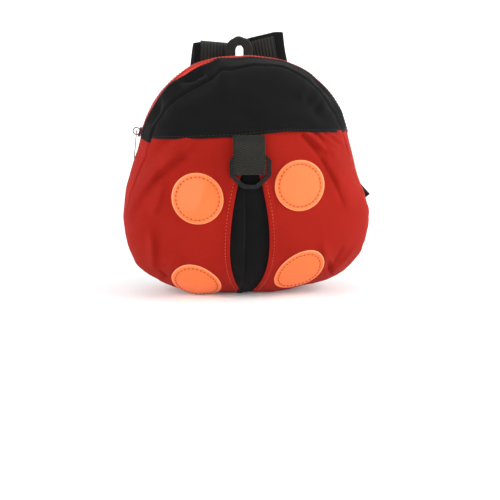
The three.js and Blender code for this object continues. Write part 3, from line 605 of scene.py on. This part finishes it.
def stripe_sheet(u, v):
    """The stripe, u across from the left and v up from its foot. Its left part lies over its right one."""
    z = 1.2 + dense(v) * 157
    reach = stripe_half(z) + 4
    fold = 1 / (1 + np.exp((z - PLEAT_TOP) / 6))
    start, end = STRIPE_X - reach, STRIPE_X + reach
    pleat = np.clip(PLEAT_X, start + 1, end - 1)
    split = np.interp(u, PLEAT_KNOTS, PLEAT_SHIFT) * 3 * fold
    sunk = 0.5 + np.interp(u, PLEAT_KNOTS, PLEAT_DEPTH) * 1.62 * fold
    share = np.interp(u, [0, 0.34, 0.42, 0.52, 0.6, 1], [0, 0.5, 0.5, 0.5, 0.5, 1])
    x = np.where(share <= 0.5, start + (pleat - start) * share * 2, pleat + (end - pleat) * (share * 2 - 1))
    points, grain = front_sheet(x + split, z, -sunk)
    return points, np.stack([u * 2 * reach, grain[:, 1]], -1), bump(u - 0.36, 0.02) * fold * 0.7


sewn_sheet("stripe_cloth", 90, 80, stripe_sheet, BLACK_CLOTH, "centre_stripe", wall=0.8)


# The yoke: the same black cloth over the top of the front. Its lower edge is turned and stitched down
# over the wings, and its upper edge goes into the seam with the zip's front band.
def yoke_sheet(u, v):
    """The yoke, u from its left end to its right one and v from its lower edge up."""
    right = station_at_yoke(*YOKE_RIGHT, 0)
    left = station_at_yoke(*YOKE_LEFT, 0)
    u, v = dense(u), dense(v)
    top_x, _, top_z = gusset_line(left + (right - left) * u, 0.0)
    ends = [gusset_line(np.array([station]), 0.0) for station in (left, right)]
    edge_x = ends[0][0] + (ends[1][0] - ends[0][0]) * u
    edge_z = yoke_z(edge_x)
    x = edge_x + (top_x - edge_x) * v
    z = edge_z + (top_z - edge_z) * v
    away = np.maximum(z - yoke_z(x), 0)
    proud = 0.9 * bump(away, 12) + hem(away, 1.2, 5, 2.4)
    points, grain = front_sheet(x, z, proud, YOKE_CREASES)
    return kinked(points), grain, np.exp(-away / 1.2) * 0.8


sewn_sheet("yoke_cloth", 150, 80, yoke_sheet, BLACK_CLOTH, "yoke")
yoke_line = line_along(yoke_sheet, 0.07, 0.93, 0.4, lambda x, z: z - yoke_z(x), 2.4)
stitches("yoke_stitches", yoke_sheet, yoke_line, BLACK_THREAD, pitch=3.4, thread=0.32)

# The spots: discs punched from glossy orange vinyl with a cut edge. Each is laid on its wing and sewn
# on with a ring of thread near its edge.
SPOT_RADIUS = 23.5
SPOT_STITCH = 19.6
SPOTS = [
    # name, x, z, tilt in degrees about the left to right axis, rise to the right
    ("upper_left", -48.3, 98.8, 4, 0),
    ("upper_right", 45.6, 109.7, -3, 0),
    ("lower_left", -49, 14, 47, -0.16),
    ("lower_right", 47.5, 25.5, 32, 0.3),
]


def vinyl_finish():
    """Embossed vinyl: an even orange, a fine leather-like grain, and paler towards its edge."""
    finish = Finish("orange_vinyl", Coat_Weight=0.8, Coat_Roughness=0.06, Coat_IOR=1.4,
                    Specular_IOR_Level=0.2)
    grain = finish.noise(0.0009, 4)
    cloud = finish.noise(0.02)
    colour = (cloud * 0.5 + grain * 0.5).mixed((0.76, 0.135, 0.02, 1), (0.84, 0.162, 0.028, 1))
    colour = finish.edge().mixed(colour, (1.0, 0.36, 0.15, 1))
    finish.feed(colour, 0.4 + grain * 0.2, grain, 0.00005)
    return finish


ORANGE_VINYL = vinyl_finish()
ORANGE_THREAD = thread_finish("orange_thread", "orange_vinyl", (0.4, 0.045, 0.006, 1))


def row(v, low=0.0, high=1.0):
    """A line(t) along a sheet at one v, from u low to high."""
    return lambda t: (low + (high - low) * t, np.full_like(t, v))


def spot_sheet(centre_x, centre_z, tilt, rise_right):
    """A disc laid on the front along its own tilted axis, u round it and v from its middle to its edge."""
    lean = math.radians(tilt)
    start = front_sheet(np.array([centre_x], float), np.array([centre_z], float))[0][0]

    def place(u, v):
        angle = 2 * math.pi * u
        radius = SPOT_RADIUS * np.sin(v * math.pi / 2)
        across = radius * np.cos(angle)
        up = radius * np.sin(angle) + rise_right * across
        slide = np.zeros_like(u)
        for _ in range(40):
            x = centre_x + across
            y = start[1] - up * math.sin(lean) + slide * math.cos(lean)
            z = centre_z + up * math.cos(lean) + slide * math.sin(lean)
            slide += 0.5 * (front_sheet(x, np.maximum(z, 0.4))[0][:, 1] - y)
            slide = np.clip(slide, -34, 34)
        inward = SPOT_RADIUS - radius
        rise = 1.15 - 0.7 * np.clip(1 - inward / 0.9, 0, 1) ** 2 - 0.4 * bump(radius - SPOT_STITCH, 0.7)
        y = y - rise * math.cos(lean)
        z = np.maximum(z - rise * math.sin(lean), 0.35)
        return np.stack([x, y, z], -1), np.stack([across, radius * np.sin(angle)], -1), np.exp(-inward / 0.6)

    return place


for where, x, z, tilt, rise_right in SPOTS:
    sheet = spot_sheet(x, z, tilt, rise_right)
    sewn_sheet(f"spot_{where}_vinyl", 96, 26, sheet, ORANGE_VINYL, f"spot_{where}", 0.9)
    ring = row(2 / math.pi * math.asin(SPOT_STITCH / SPOT_RADIUS), high=0.999)
    stitches(f"spot_{where}_stitches", sheet, ring, ORANGE_THREAD, pitch=3.8, length=2.1, thread=0.62)

# The gusset: the strip of cloth that closes the bag between front and back, sewn in by both seams. Round
# the sides and base it is red; over the top it is a black and a red band, each turned in along the zip.
ZIP_RIGHT = 7.5
ZIP_LEFT = 16.75
FRONT_EDGE, COIL_FROM, COIL_TO, BACK_EDGE = 0.37, 0.47, 0.53, 0.63
OVER_BAND = 0.22


def gusset_sheet(station_from, station_to, share_from, share_to, turned=(), lift=0.0, folds=(), sunk=0):
    """A stretch of the gusset, u round the bag and v from front to back, with its turned edges raised.

    lift is how proud it stands, one number or a function of the station. sunk, at 1, tucks the parts
    that lie under the bands deeper.
    """
    def place(u, v):
        station = station_from + (station_to - station_from) * u
        share = share_from + (share_to - share_from) * (dense(v) * 0.6 + v * 0.4)
        depth = BACK_Y - around(SEAM_Y, station)
        proud = lift(station) if callable(lift) else lift
        proud = proud - 30 * np.maximum(0, np.abs(share - 0.5) - 0.14) * sunk
        edge = np.exp(-share * depth / 1.3) + np.exp(-(1 - share) * depth / 1.3)
        edge *= 0 if turned else 1
        for at in turned:
            away = np.abs(share - at) * depth
            proud += hem(away, 1.0, 4, 2.4)
            edge += np.exp(-away / 1.0) * 0.7
        x, y, z = gusset_line(station, share, proud)
        pull = seam_pull(station, y, around(SEAM_Y, station)) + seam_pull(station + 5, y, BACK_Y)
        pull += 0.6 * ripple(station * 2.3) * np.sin(math.pi * share) ** 2
        inner = np.clip((share - share_from) / (share_to - share_from), 0, 1)
        pull -= crease(folds, x, z) * np.sin(math.pi * inner)
        out_x, out_z = outward(station)
        points = np.stack([x - out_x * pull, y, np.maximum(z - out_z * pull, 0.0)], -1)
        return kinked(points), np.stack([station * STATION_LENGTH, share * depth], -1), edge

    return place


lower = gusset_sheet(ZIP_LEFT, ZIP_RIGHT + STATIONS + OVER_BAND, 0, 1)
sewn_sheet("gusset_cloth", 300, 36, lower, RED_CLOTH, "gusset_lower")
BAND_CREASES = [
    (-80, 186, -62, 204, 4, 1.7),
    (-62, 202, -42, 210, 3.5, -2.0),
    (-52, 213, -28, 221, 4, 1.5),
    (-88, 166, -80, 183, 3, -1.3),
    (84, 182, 92, 160, 3, 1.0),
    (66, 202, 78, 190, 4, -1.0),
]


def band_lift(station):
    """The band stands over the zip's tape, and its right end dips under the red strip's edge."""
    return np.interp(station, [ZIP_RIGHT, 7.8, 8.3], [-0.6, -0.3, 0.8])


front_band_sheet = gusset_sheet(ZIP_RIGHT, ZIP_LEFT, 0, FRONT_EDGE, (FRONT_EDGE,), band_lift, BAND_CREASES)
sewn_sheet("front_band_cloth", 220, 20, front_band_sheet, BLACK_CLOTH, "gusset_front_band")
back_band_sheet = gusset_sheet(ZIP_RIGHT, ZIP_LEFT, BACK_EDGE, 1, (BACK_EDGE,), 0.2)
sewn_sheet("back_band_cloth", 220, 20, back_band_sheet, RED_CLOTH, "gusset_back_band")
stitches("front_band_stitches", front_band_sheet, row(0.88, 0.005, 0.995), BLACK_THREAD, pitch=3.4)
stitches("back_band_stitches", back_band_sheet, row(0.12, 0.005, 0.995), RED_THREAD, pitch=3.4)

# The zip: two woven tapes sewn under the bands' edges, and the nylon coil that joins them, closed. Its
# slider stands at the left end, and a stamped pull hangs in the slider's bail.
TAPE_DEPTH = -0.35
UNDER_BAND, UNDER_COIL = 0.09, 0.02


def tape_finish():
    """Woven tape with fine ribs along it."""
    finish = Finish("red_zip_tape", Sheen_Weight=0.05, Specular_IOR_Level=0.15)
    across, along = finish.grain()
    rib = (along * (2 * math.pi / 0.9)).sine() * 0.5 + (across * (2 * math.pi / 0.7)).sine() * 0.3
    cloud = finish.noise(0.01)
    colour = (cloud * 0.6 + rib * 0.2 + 0.2).mixed((0.6, 0.028, 0.014, 1), (0.82, 0.05, 0.026, 1))
    finish.feed(colour, 0.6 + cloud * 0.2, rib, 0.00015)
    return finish


def nylon_finish():
    """Bright red nylon monofilament."""
    finish = Finish("red_zip_coil", Specular_IOR_Level=0.5)
    cloud = finish.noise(0.002)
    colour = cloud.mixed((0.45, 0.02, 0.012, 1), (0.62, 0.04, 0.025, 1))
    finish.feed(colour, 0.3 + cloud * 0.15, cloud, 0.00003)
    return finish


def across_and_out(line, side):
    """Unit directions across a line and out of it, from a rough direction across."""
    tangent = np.gradient(line, axis=0)
    tangent /= np.linalg.norm(tangent, axis=1)[:, None]
    side = side - (side * tangent).sum(1)[:, None] * tangent
    side /= np.linalg.norm(side, axis=1)[:, None]
    return side, np.cross(side, tangent)


def swept(name, centre, side, section, finish, node, swell=1.0):
    """A strip whose section, rows of across and through in millimetres, runs along centre points.

    side gives the across direction at each point, and swell scales the through direction along the
    strip. Both ends are closed.
    """
    side, out = across_and_out(centre, side)
    run = run_of(centre)
    swell = np.broadcast_to(swell, len(centre))[:, None]
    count = len(section)
    loop = np.concatenate([section, section[:1]])
    girth = run_of(loop)
    broad = section[:, np.argmax(np.ptp(section, axis=0))]
    to_edge = np.exp(-(np.abs(broad).max() - np.abs(np.append(broad, broad[0]))) / 0.8)

    def place(u, v):
        i = np.rint(u * (len(centre) - 1)).astype(int)
        j = np.rint(v * count).astype(int)
        points = centre[i] + side[i] * loop[j, :1] + out[i] * loop[j, 1:] * swell[i]
        return points, np.stack([girth[j], run[i]], -1), to_edge[j]

    made = cloth_grid(name, len(centre) - 1, count, place, wall=0)
    bm = bmesh.new()
    bm.from_mesh(made.data)
    bmesh.ops.holes_fill(bm, edges=[e for e in bm.edges if e.is_boundary], sides=0)
    bmesh.ops.recalc_face_normals(bm, faces=bm.faces)
    bm.to_mesh(made.data)
    bm.free()
    wide, long = np.ptp(section[:, 0]) * MM, run[-1] * MM
    cuts[name] = {"flat": (wide, long), "area": wide * long}
    return sewn_in(made, finish, node)


RED_TAPE = tape_finish()
RED_NYLON = nylon_finish()
for name, low, high in (
    ("front", FRONT_EDGE - UNDER_BAND, COIL_FROM + UNDER_COIL),
    ("back", COIL_TO - UNDER_COIL, BACK_EDGE + UNDER_BAND),
):
    tape_sheet = gusset_sheet(ZIP_RIGHT, ZIP_LEFT, low, high, lift=TAPE_DEPTH, sunk=1)
    sewn_sheet(f"zip_tape_{name}_weave", 220, 6, tape_sheet, RED_TAPE, f"zip_tape_{name}",
               wall=0.7)
coil_at = np.linspace(ZIP_RIGHT, ZIP_LEFT, 220)
coil_line = np.stack(gusset_line(coil_at, 0.5, -0.55), -1)
coil_side = np.tile((0, 1.0, 0), (len(coil_at), 1))
coil_round = np.linspace(0, 2 * math.pi, 12, endpoint=False)
coil_section = np.stack([1.55 * np.cos(coil_round), 0.8 * np.sin(coil_round)], -1)
swept("zip_coil_core", coil_line, coil_side, coil_section, RED_NYLON, "zip_coil")
core_sheet = gusset_sheet(ZIP_RIGHT, ZIP_LEFT, COIL_FROM, COIL_TO, lift=0.1)
for name, v in (("front", 0.3), ("back", 0.7)):
    stitches(f"zip_teeth_{name}", core_sheet, row(v, 0.003, 0.997), RED_NYLON, 1.5, length=1.0, thread=0.75)


def moulded(name, node, rounding, finish, body="root"):
    """A copy of a rigid CAD solid with its corners rounded, as a mould or a die leaves them."""
    bm = bmesh.new()
    bm.from_mesh(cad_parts[node].data)
    bmesh.ops.remove_doubles(bm, verts=bm.verts, dist=2e-6)
    bmesh.ops.dissolve_limit(bm, angle_limit=math.radians(2), verts=bm.verts, edges=bm.edges)
    sharp = math.radians(28)
    corners = [edge for edge in bm.edges if edge.is_manifold and abs(edge.calc_face_angle()) > sharp]
    bmesh.ops.bevel(bm, geom=corners, offset=rounding * MM, segments=3, profile=0.5, affect="EDGES",
                    material=-1, clamp_overlap=True)
    made = into_scene(name, bm)
    made.modifiers.new("flats", "WEIGHTED_NORMAL").keep_sharp = True
    return sewn_in(made, finish, node, body=body)


def enamel_finish():
    """Zinc with baked dark red enamel, a little uneven."""
    finish = Finish("red_enamel", Specular_IOR_Level=0.3)
    wear = finish.noise(0.0015, 4)
    colour = wear.mixed((0.045, 0.001, 0.001, 1), (0.085, 0.002, 0.0015, 1))
    finish.feed(colour, 0.35 + wear * 0.2, wear, 0.00003)
    return finish


RED_ENAMEL = enamel_finish()
moulded("zip_slider_body", "zip_slider", 0.3, RED_ENAMEL)
moulded("zip_pull_plate", "zip_pull", 0.22, RED_ENAMEL, body="pull")

# The back panel: padded black cloth that lies against the wearer, crowned between its seam and a
# stitched line that runs round inside it.
BACK_BULGE = 6
QUILT_RADIUS = 0.84


def back_dome(x, z, proud=0.0):
    """Points of the back at x and z, and their grain, proud of it by some millimetres."""
    station, radius = on_seam(x, z, BACK_SEAM)
    channel = 1.5 * bump(radius - QUILT_RADIUS, 0.022)
    y = BACK_Y + 0.3 + BACK_BULGE * np.sqrt(np.maximum(1 - radius**4, 0)) - channel + proud
    return np.stack([x, y, np.maximum(z, 0.05)], -1), np.stack([x, z], -1)


def back_sheet(u, v):
    """The whole back, u round it and v from its middle to the seam."""
    station = u * STATIONS
    radius = np.sin(v * math.pi / 2)
    seam_x, _, seam_z = gusset_line(station, 1.0)
    x = seam_x * radius
    z = MIDDLE_Z + (seam_z - MIDDLE_Z) * radius
    points, grain = back_dome(x, z)
    puckers = 0.3 * ripple(station * 9) * bump(radius - QUILT_RADIUS, 0.07)
    points[:, 1] += puckers * (1 - radius**6)
    out_x, out_z = outward(station)
    dip = 1.1 * bump(1 - radius, 1 / 60)
    points[:, 0] -= out_x * dip
    points[:, 2] = np.maximum(points[:, 2] - out_z * dip, 0.05)
    return points, grain, bump(radius - QUILT_RADIUS, 0.014) * 0.6


back = cloth_grid("back_panel_cloth", 192, 60, back_sheet, wall=1.6)
sewn_in(back, BLACK_CLOTH, "back_panel")
quilting = row(2 / math.pi * math.asin(QUILT_RADIUS), high=0.999)
stitches("back_stitches", back_sheet, quilting, BLACK_THREAD, pitch=3.6)

# The anchor tabs: folded cloth at the bag's lower corners, sewn into the back seam round the ends of
# the straps' lower webbing.
ANCHOR_CORNERS = np.array([(-112, 46), (-83, 8), (-74.5, 27.5), (-92.5, 48.5)])


def anchor_sheet(sign):
    """The tab at one lower corner, u down its sewn side and v away from it, with its other sides turned."""
    def place(u, v):
        u_, v_ = dense(u)[:, None], dense(v)[:, None]
        a, b, c, d = ANCHOR_CORNERS
        flat = (a * (1 - u_) + b * u_) * (1 - v_) + (d * (1 - u_) + c * u_) * v_
        away = np.minimum.reduce([(1 - dense(v)) * 22, dense(u) * 30, (1 - dense(u)) * 30])
        points, grain = back_dome(-sign * flat[:, 0], flat[:, 1], 2.6 + hem(away, 1.6, 5, 3.2))
        return points, grain, np.exp(-away / 1.2) * 0.6

    return place


for side, sign in (("left", -1), ("right", 1)):
    sheet = anchor_sheet(sign)
    sewn_sheet(f"anchor_cloth_{side}", 30, 24, sheet, BLACK_CLOTH, f"anchor_tab_{side}",
               2.2)
    stitches(f"anchor_stitches_{side}", sheet, row(0.72, 0.2, 0.8), BLACK_THREAD)


# The leash tab: a strip of herringbone webbing, folded over into a loop that holds the ring. Both of its
# ends are sewn in under the yoke's lower edge.
def flat_section(width, thickness):
    """A strip's section with rounded edges."""
    w, t = width / 2, thickness / 2
    right = [(w - t * 0.6, -t), (w - t * 0.15, -t * 0.6), (w, 0), (w - t * 0.15, t * 0.6), (w - t * 0.6, t)]
    top = [(x * w / 4, t) for x in (3, 2, 1, 0, -1, -2, -3)]
    left = [(-x, -y) for x, y in right]
    bottom = [(-x, -t) for x, _ in top]
    return np.array(right + top + left + bottom)


def webbing_finish(name, rib, herringbone=False):
    """Dull grey-black webbing: ribs along it, or the zigzag rows of a herringbone, and painted shade along
    its edges.
    """
    finish = Finish(name, "black_webbing", Sheen_Weight=0.08, Specular_IOR_Level=0.15)
    across, along = finish.grain()
    if herringbone:
        row = finish.wire.math("PINGPONG", across, 2.9)
        pattern = (along * (2 * math.pi / rib) + row * (2 * math.pi / 2.6)).sine() * 0.5 + 0.5
    else:
        ribs = (across * (2 * math.pi / rib)).sine() * 0.4
        pattern = ribs + (along * (2 * math.pi / 0.9)).sine() * 0.15 + 0.5
    fuzz = finish.noise(0.0012, 3)
    colour = (pattern * 0.75 + fuzz * 0.25).mixed((0.001, 0.001, 0.0009, 1), (0.03, 0.029, 0.023, 1))
    # Painted shade: the colour darkens towards the strip's edges, along the straps' and tab's sides and round
    # the grab loop's folded rims.
    colour = (finish.edge() * 0.6).mixed(colour, (0.006, 0.006, 0.005, 1))
    finish.feed(colour, 0.75 + fuzz * 0.15, pattern + fuzz * 0.5, 0.0004)
    return finish


HERRINGBONE = webbing_finish("herringbone_webbing", 2.3, herringbone=True)
RIBBED = webbing_finish("ribbed_webbing", 3.1)
FINE_RIBBED = webbing_finish("fine_ribbed_webbing", 1.3)
TAB_X, TAB_TOP, TAB_FOLD, TAB_WIDTH, TAB_LAYER = -1.4, 156.5, 123.3, 29, 1.5
TAB_GAP = 1.05
RING_ROOM = 4.0


def smoothstep(value, low, high):
    """A smooth change from 0 to 1 as value goes from low to high."""
    t = np.clip((value - low) / (high - low), 0, 1)
    return t * t * (3 - 2 * t)


tab_z = np.linspace(TAB_TOP, TAB_FOLD, 40)
tab_open = smoothstep(155 - tab_z, 3, 15) * (0.3 + 0.7 * smoothstep(tab_z, 121.3, 133))
tab_spread = 0.2 + (RING_ROOM - 0.2) * tab_open
station, radius = on_seam(np.full_like(tab_z, STRIPE_X), tab_z, FRONT_SEAM)
seam_y = around(SEAM_Y, station)
plain_y = seam_y - (seam_y - FRONT_Y) * (1 - radius**2) ** around(ROUND, station)
rear_y = plain_y - TAB_GAP - TAB_LAYER / 2
front_y = plain_y - TAB_GAP - 1.5 * TAB_LAYER - tab_spread
turn = np.linspace(0, math.pi, 12)[1:-1]
fold_radius = (rear_y[-1] - front_y[-1]) / 2
fold_y = (rear_y[-1] + front_y[-1]) / 2 + fold_radius * np.cos(turn)
fold_z = TAB_FOLD - fold_radius * np.sin(turn)
tab_y = np.concatenate([rear_y, fold_y, front_y[::-1]])
tab_line = np.stack([np.full_like(tab_y, TAB_X), tab_y, np.concatenate([tab_z, fold_z, tab_z[::-1]])], -1)
tab_side = np.tile((1.0, 0, 0), (len(tab_line), 1))
tab_section = flat_section(TAB_WIDTH, TAB_LAYER)
tab = swept("ring_tab_webbing", tab_line, tab_side, tab_section, HERRINGBONE, "ring_tab")


# The ring: black nylon, injection moulded in one piece with rounded corners. Its round rod lies in the
# tab's loop, and a leash hooks on its foot.
def nylon_black_finish():
    """Black moulded nylon with the fine texture of its mould and a few scuffs."""
    finish = Finish("black_plastic", Specular_IOR_Level=0.22)
    mould = finish.noise(0.0008, 3)
    scuff = finish.noise(0.008, 4)
    colour = (scuff * 0.8).mixed((0.003, 0.003, 0.0032, 1), (0.006, 0.006, 0.007, 1))
    finish.feed(colour, 0.2 + scuff * 0.15, mould, 0.00004)
    return finish


BLACK_NYLON = nylon_black_finish()
moulded("ring_moulding", "d_ring", 0.8, BLACK_NYLON, body="ring")

# The grab loop: fine ribbed webbing, 16 mm wide and folded double along its length, which makes it
# narrower and thicker. Its ends are sewn into the back seam, and its bend has puckered.
HANDLE_X, HANDLE_HALF, BEND_Z = -3.4, 8.3, 229.05
HANDLE_CUT, HANDLE_WIDE, HANDLE_THICK = 16.0, 9.4, 4.5
seam_top = float(gusset_line(np.array([12.0]), 1.0)[2][0])
turn = np.linspace(math.pi, 0, 28)
left_leg = np.linspace(seam_top + 0.2, BEND_Z, 10)[:-1]
loop_x = np.concatenate([np.full(9, -HANDLE_HALF), HANDLE_HALF * np.cos(turn), np.full(9, HANDLE_HALF)])
loop_z = np.concatenate([left_leg, BEND_Z + HANDLE_HALF * np.sin(turn), left_leg[::-1]])
loop_y = np.full_like(loop_x, BACK_Y + 0.3 + HANDLE_THICK / 2)
loop_line = np.stack([HANDLE_X + loop_x, loop_y, loop_z], -1)
across = np.linspace(-1, 1, 9)
up_side = np.array([-0.3, -0.1, 0.1, 0.3]) * HANDLE_WIDE
fold_shape = np.concatenate([
    np.stack([across * 1.6, -HANDLE_WIDE / 2 + 0.9 * across**4], -1),
    np.stack([np.full(4, HANDLE_THICK / 2), up_side], -1),
    np.stack([across[::-1] * 1.9, HANDLE_WIDE / 2 - 0.5 * across**4 - 1.1 * bump(across, 1 / 3)], -1),
    np.stack([np.full(4, -HANDLE_THICK / 2), -up_side], -1),
])
bend = np.concatenate([np.full(9, 180.0), np.degrees(turn), np.zeros(9)])
pinch = 1 - 0.16 * bump(bend - 70, 11) - 0.13 * bump(bend - 118, 9)
loop_line[:, 1] += 1.4 * bump(bend - 92, 26)
loop_side = np.tile((0, 1.0, 0), (len(loop_line), 1))
loop = swept("grab_loop_webbing", loop_line, loop_side, fold_shape, FINE_RIBBED, "grab_handle", pinch)
loop_cut = (HANDLE_CUT * MM, cuts["grab_loop_webbing"]["flat"][1])
loop_cut[0] * loop_cut[1]

# The shoulder straps: foam pads in black cloth that rise from the back seam, fold over and hang down
# behind, each with ribbed webbing sewn along it and a ladder lock at its end. The lower webbing comes
# from the anchor tab, turns over the lock's bar and ends in a loose tail.
STRAPS = {
    # shift of the ribbed webbing to one side, bulge of the pad where it folds over, and rows of x, y, z
    # and roll in degrees
    "left": {
        "shift": 1.4,
        "bulge": 0.8,
        "strap": [
            (-28.9, 40.2, 203, -3), (-28.1, 40.4, 212, -4), (-27.6, 40.5, 221, -5), (-27.3, 41.2, 227.5, -5),
            (-27.2, 43.8, 231.4, -5), (-27.2, 47.8, 232.6, -5), (-27.5, 52, 230.6, -5),
            (-28.2, 54.6, 225.5, -5), (-29.9, 57, 211, -6), (-33.4, 60, 180, -7),
            (-37.4, 60.5, 147, -7), (-41.3, 58.5, 116, -7),
            (-43.8, 56.5, 96, -7),
        ],
        "lower": [(-91, 38.6, 32, -50), (-78, 42.6, 42, -50), (-64, 47, 51, -40), (-53, 49.6, 61, -25)],
        "tail": [(-50, 57, 50, -9), (-53, 56.5, 36, -12)],
    },
    "right": {
        "shift": -3.4,
        "bulge": 3.4,
        "strap": [
            (25.9, 40.2, 203, 6), (24.2, 40.4, 212, 10), (22.3, 40.5, 222, 13), (21, 41.2, 230, 13),
            (20.3, 43.8, 236, 13), (20.3, 47.8, 237.8, 13), (20.9, 52, 235, 13), (22.2, 54.6, 229.5, 13),
            (26.2, 57, 213, 13), (33.6, 60, 180, 13), (41.2, 60.5, 147, 13), (48.4, 58.5, 116, 13),
            (53, 56.5, 96, 13),
        ],
        "lower": [(91, 38.6, 32, 50), (82, 42.6, 41, 50), (72.5, 47, 50, 42), (65, 49.6, 60, 28)],
        "tail": [
            (68, 59, 62, 40), (80, 57.5, 61, 75), (94, 54, 70, 108), (107, 49.5, 83, 118), (120, 45, 95, 122),
        ],
    },
}
PAD_WIDTH, PAD_THICK = 40, 4.5
STRAP_WEB, STRAP_WEB_THICK = 29, 1.5
LOWER_WEB = 25
LOCK_HEIGHT, LOCK_THICK, LOCK_BAR = 23, 3.4, 3.2
SEWN_GAP = 0.3
PAD_EDGE = 3.4


def smooth_line(rows, steps):
    """Points and across directions along rows of x, y, z and roll in degrees."""
    rows = np.array(rows, float)
    points, roll = rows[:, :3], rows[:, 3]
    padded = np.concatenate([[2 * points[0] - points[1]], points, [2 * points[-1] - points[-2]]])
    share = np.linspace(0, len(points) - 1, steps)
    low = np.minimum(share.astype(int), len(points) - 2)
    t = (share - low)[:, None]
    p0, p1, p2, p3 = (padded[low + k] for k in range(4))
    d0, d1, d2 = (np.linalg.norm(b - a, axis=1)[:, None] ** 0.5 for a, b in ((p0, p1), (p1, p2), (p2, p3)))
    m1 = ((p1 - p0) / d0 - (p2 - p0) / (d0 + d1) + (p2 - p1) / d1) * d1
    m2 = ((p2 - p1) / d1 - (p3 - p1) / (d1 + d2) + (p3 - p2) / d2) * d1
    line = p1 + m1 * t + (3 * (p2 - p1) - 2 * m1 - m2) * t**2 + (2 * (p1 - p2) + m1 + m2) * t**3
    angle = np.radians(np.interp(share, np.arange(len(roll)), roll))
    return line, np.stack([np.cos(angle), np.zeros_like(angle), np.sin(angle)], -1)


def shifted(line, side, across, out):
    """A line moved across and out of itself, in millimetres."""
    side, outwards = across_and_out(line, side)
    return line + side * across + outwards * out


def pad_section():
    """A foam pad in cloth: crowned, pinched at a stitched line, with a bound edge."""
    x = np.linspace(-1, 1, 33)
    half = PAD_WIDTH / 2 * x
    edge = np.clip((1 - np.abs(x)) * PAD_WIDTH / 2 / 2.2, 0, 1)
    inside = PAD_WIDTH / 2 - PAD_EDGE - np.abs(half)
    crown = 0.85 + 1.35 * np.clip(inside / 5, 0, 1) ** 0.5
    crown = np.where(inside < 0, 0.95 * np.sqrt(edge), crown)
    upper = np.stack([half[::-1][1:-1], crown[::-1][1:-1]], -1)
    return np.concatenate([np.stack([half, -crown], -1), upper])


for side, parts in STRAPS.items():
    line, across = smooth_line(parts["strap"], 220)
    bulge = parts["bulge"] * bump(line[:, 1] - 45.5, 4) * (line[:, 2] > 215)
    pad_line = line + np.stack([0 * bulge, 0 * bulge, bulge], -1)
    pad = swept(f"strap_pad_{side}_cloth", pad_line, across, pad_section(), BLACK_CLOTH, f"strap_pad_{side}")
    web_line = shifted(line, across, parts["shift"], PAD_THICK / 2 + SEWN_GAP + STRAP_WEB_THICK / 2)
    web_section = flat_section(STRAP_WEB, STRAP_WEB_THICK)
    web = swept(f"strap_ribbed_{side}", web_line, across, web_section, RIBBED, f"strap_webbing_{side}")
    end, before = (np.array(parts["strap"][i][:3]) for i in (-1, -2))
    drop = Vector(end - before).normalized()
    place = Matrix.Rotation(math.atan2(-drop.x, -drop.z), 4, "Y") @ Matrix.Rotation(math.asin(drop.y), 4, "X")
    place.translation = Vector(end) + drop * (SEWN_GAP + LOCK_HEIGHT / 2)
    leg = LOCK_THICK / 2 + SEWN_GAP + STRAP_WEB_THICK / 2
    turn = [math.pi * i / 6 for i in range(7)]
    over = [(0, -leg, -LOCK_HEIGHT / 2 - 3), (0, -leg, -LOCK_HEIGHT / 4)]
    over += [(0, -leg * math.cos(a), LOCK_BAR / 2 + leg * math.sin(a)) for a in turn]
    over += [(0, leg, -LOCK_HEIGHT / 4), (0, leg, -LOCK_HEIGHT / 2 - 3)]
    roll = parts["strap"][-1][3]
    rows = parts["lower"] + [(*(place @ Vector(point)), roll) for point in over] + parts["tail"]
    lower_line, lower_side = smooth_line(rows, 260)
    lower_section = flat_section(LOWER_WEB, STRAP_WEB_THICK)
    loose = swept(f"strap_lower_{side}_webbing", lower_line, lower_side, lower_section, RIBBED,
                  f"strap_lower_{side}")
    moulded(f"lock_{side}_moulding", f"lock_{side}", 0.7, BLACK_NYLON)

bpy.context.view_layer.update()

# The floor: matt white paper that the bag stands on. It curves up all round like a photo studio's
# backdrop, and is only a stage for the picture.
FLOOR_RADIUS, BEND_RADIUS, WALL_TOP = 2.4, 0.8, 3.0
FLAT_SHARE, BEND_SHARE, FLOOR_GAP = 0.2, 0.7, 0.0003
bm = bmesh.new()
bmesh.ops.create_grid(bm, x_segments=72, y_segments=24, size=0.5)
for vert in bm.verts:
    turn = (vert.co.x + 0.5) * 2 * math.pi
    step = vert.co.y + 0.5
    bend = min(max((step - FLAT_SHARE) / BEND_SHARE, 0), 1) * math.pi / 2
    reach = FLOOR_RADIUS * min(step / FLAT_SHARE, 1) + BEND_RADIUS * math.sin(bend)
    height = BEND_RADIUS * (1 - math.cos(bend)) if step < 0.98 else WALL_TOP
    vert.co = (reach * math.cos(turn), reach * math.sin(turn), height - FLOOR_GAP)
bmesh.ops.remove_doubles(bm, verts=bm.verts, dist=1e-5)
floor = into_scene("floor", bm)
paper = Finish("floor_paper", Emission_Color=(1, 1, 1, 1), Emission_Strength=0.04)
speck = paper.noise(0.05)
paper.feed(speck.mixed((0.95, 0.95, 0.95, 1), (0.97, 0.97, 0.97, 1)), 0.9 + speck * 0.05, speck, 0.0)
floor.data.materials.append(paper.material)
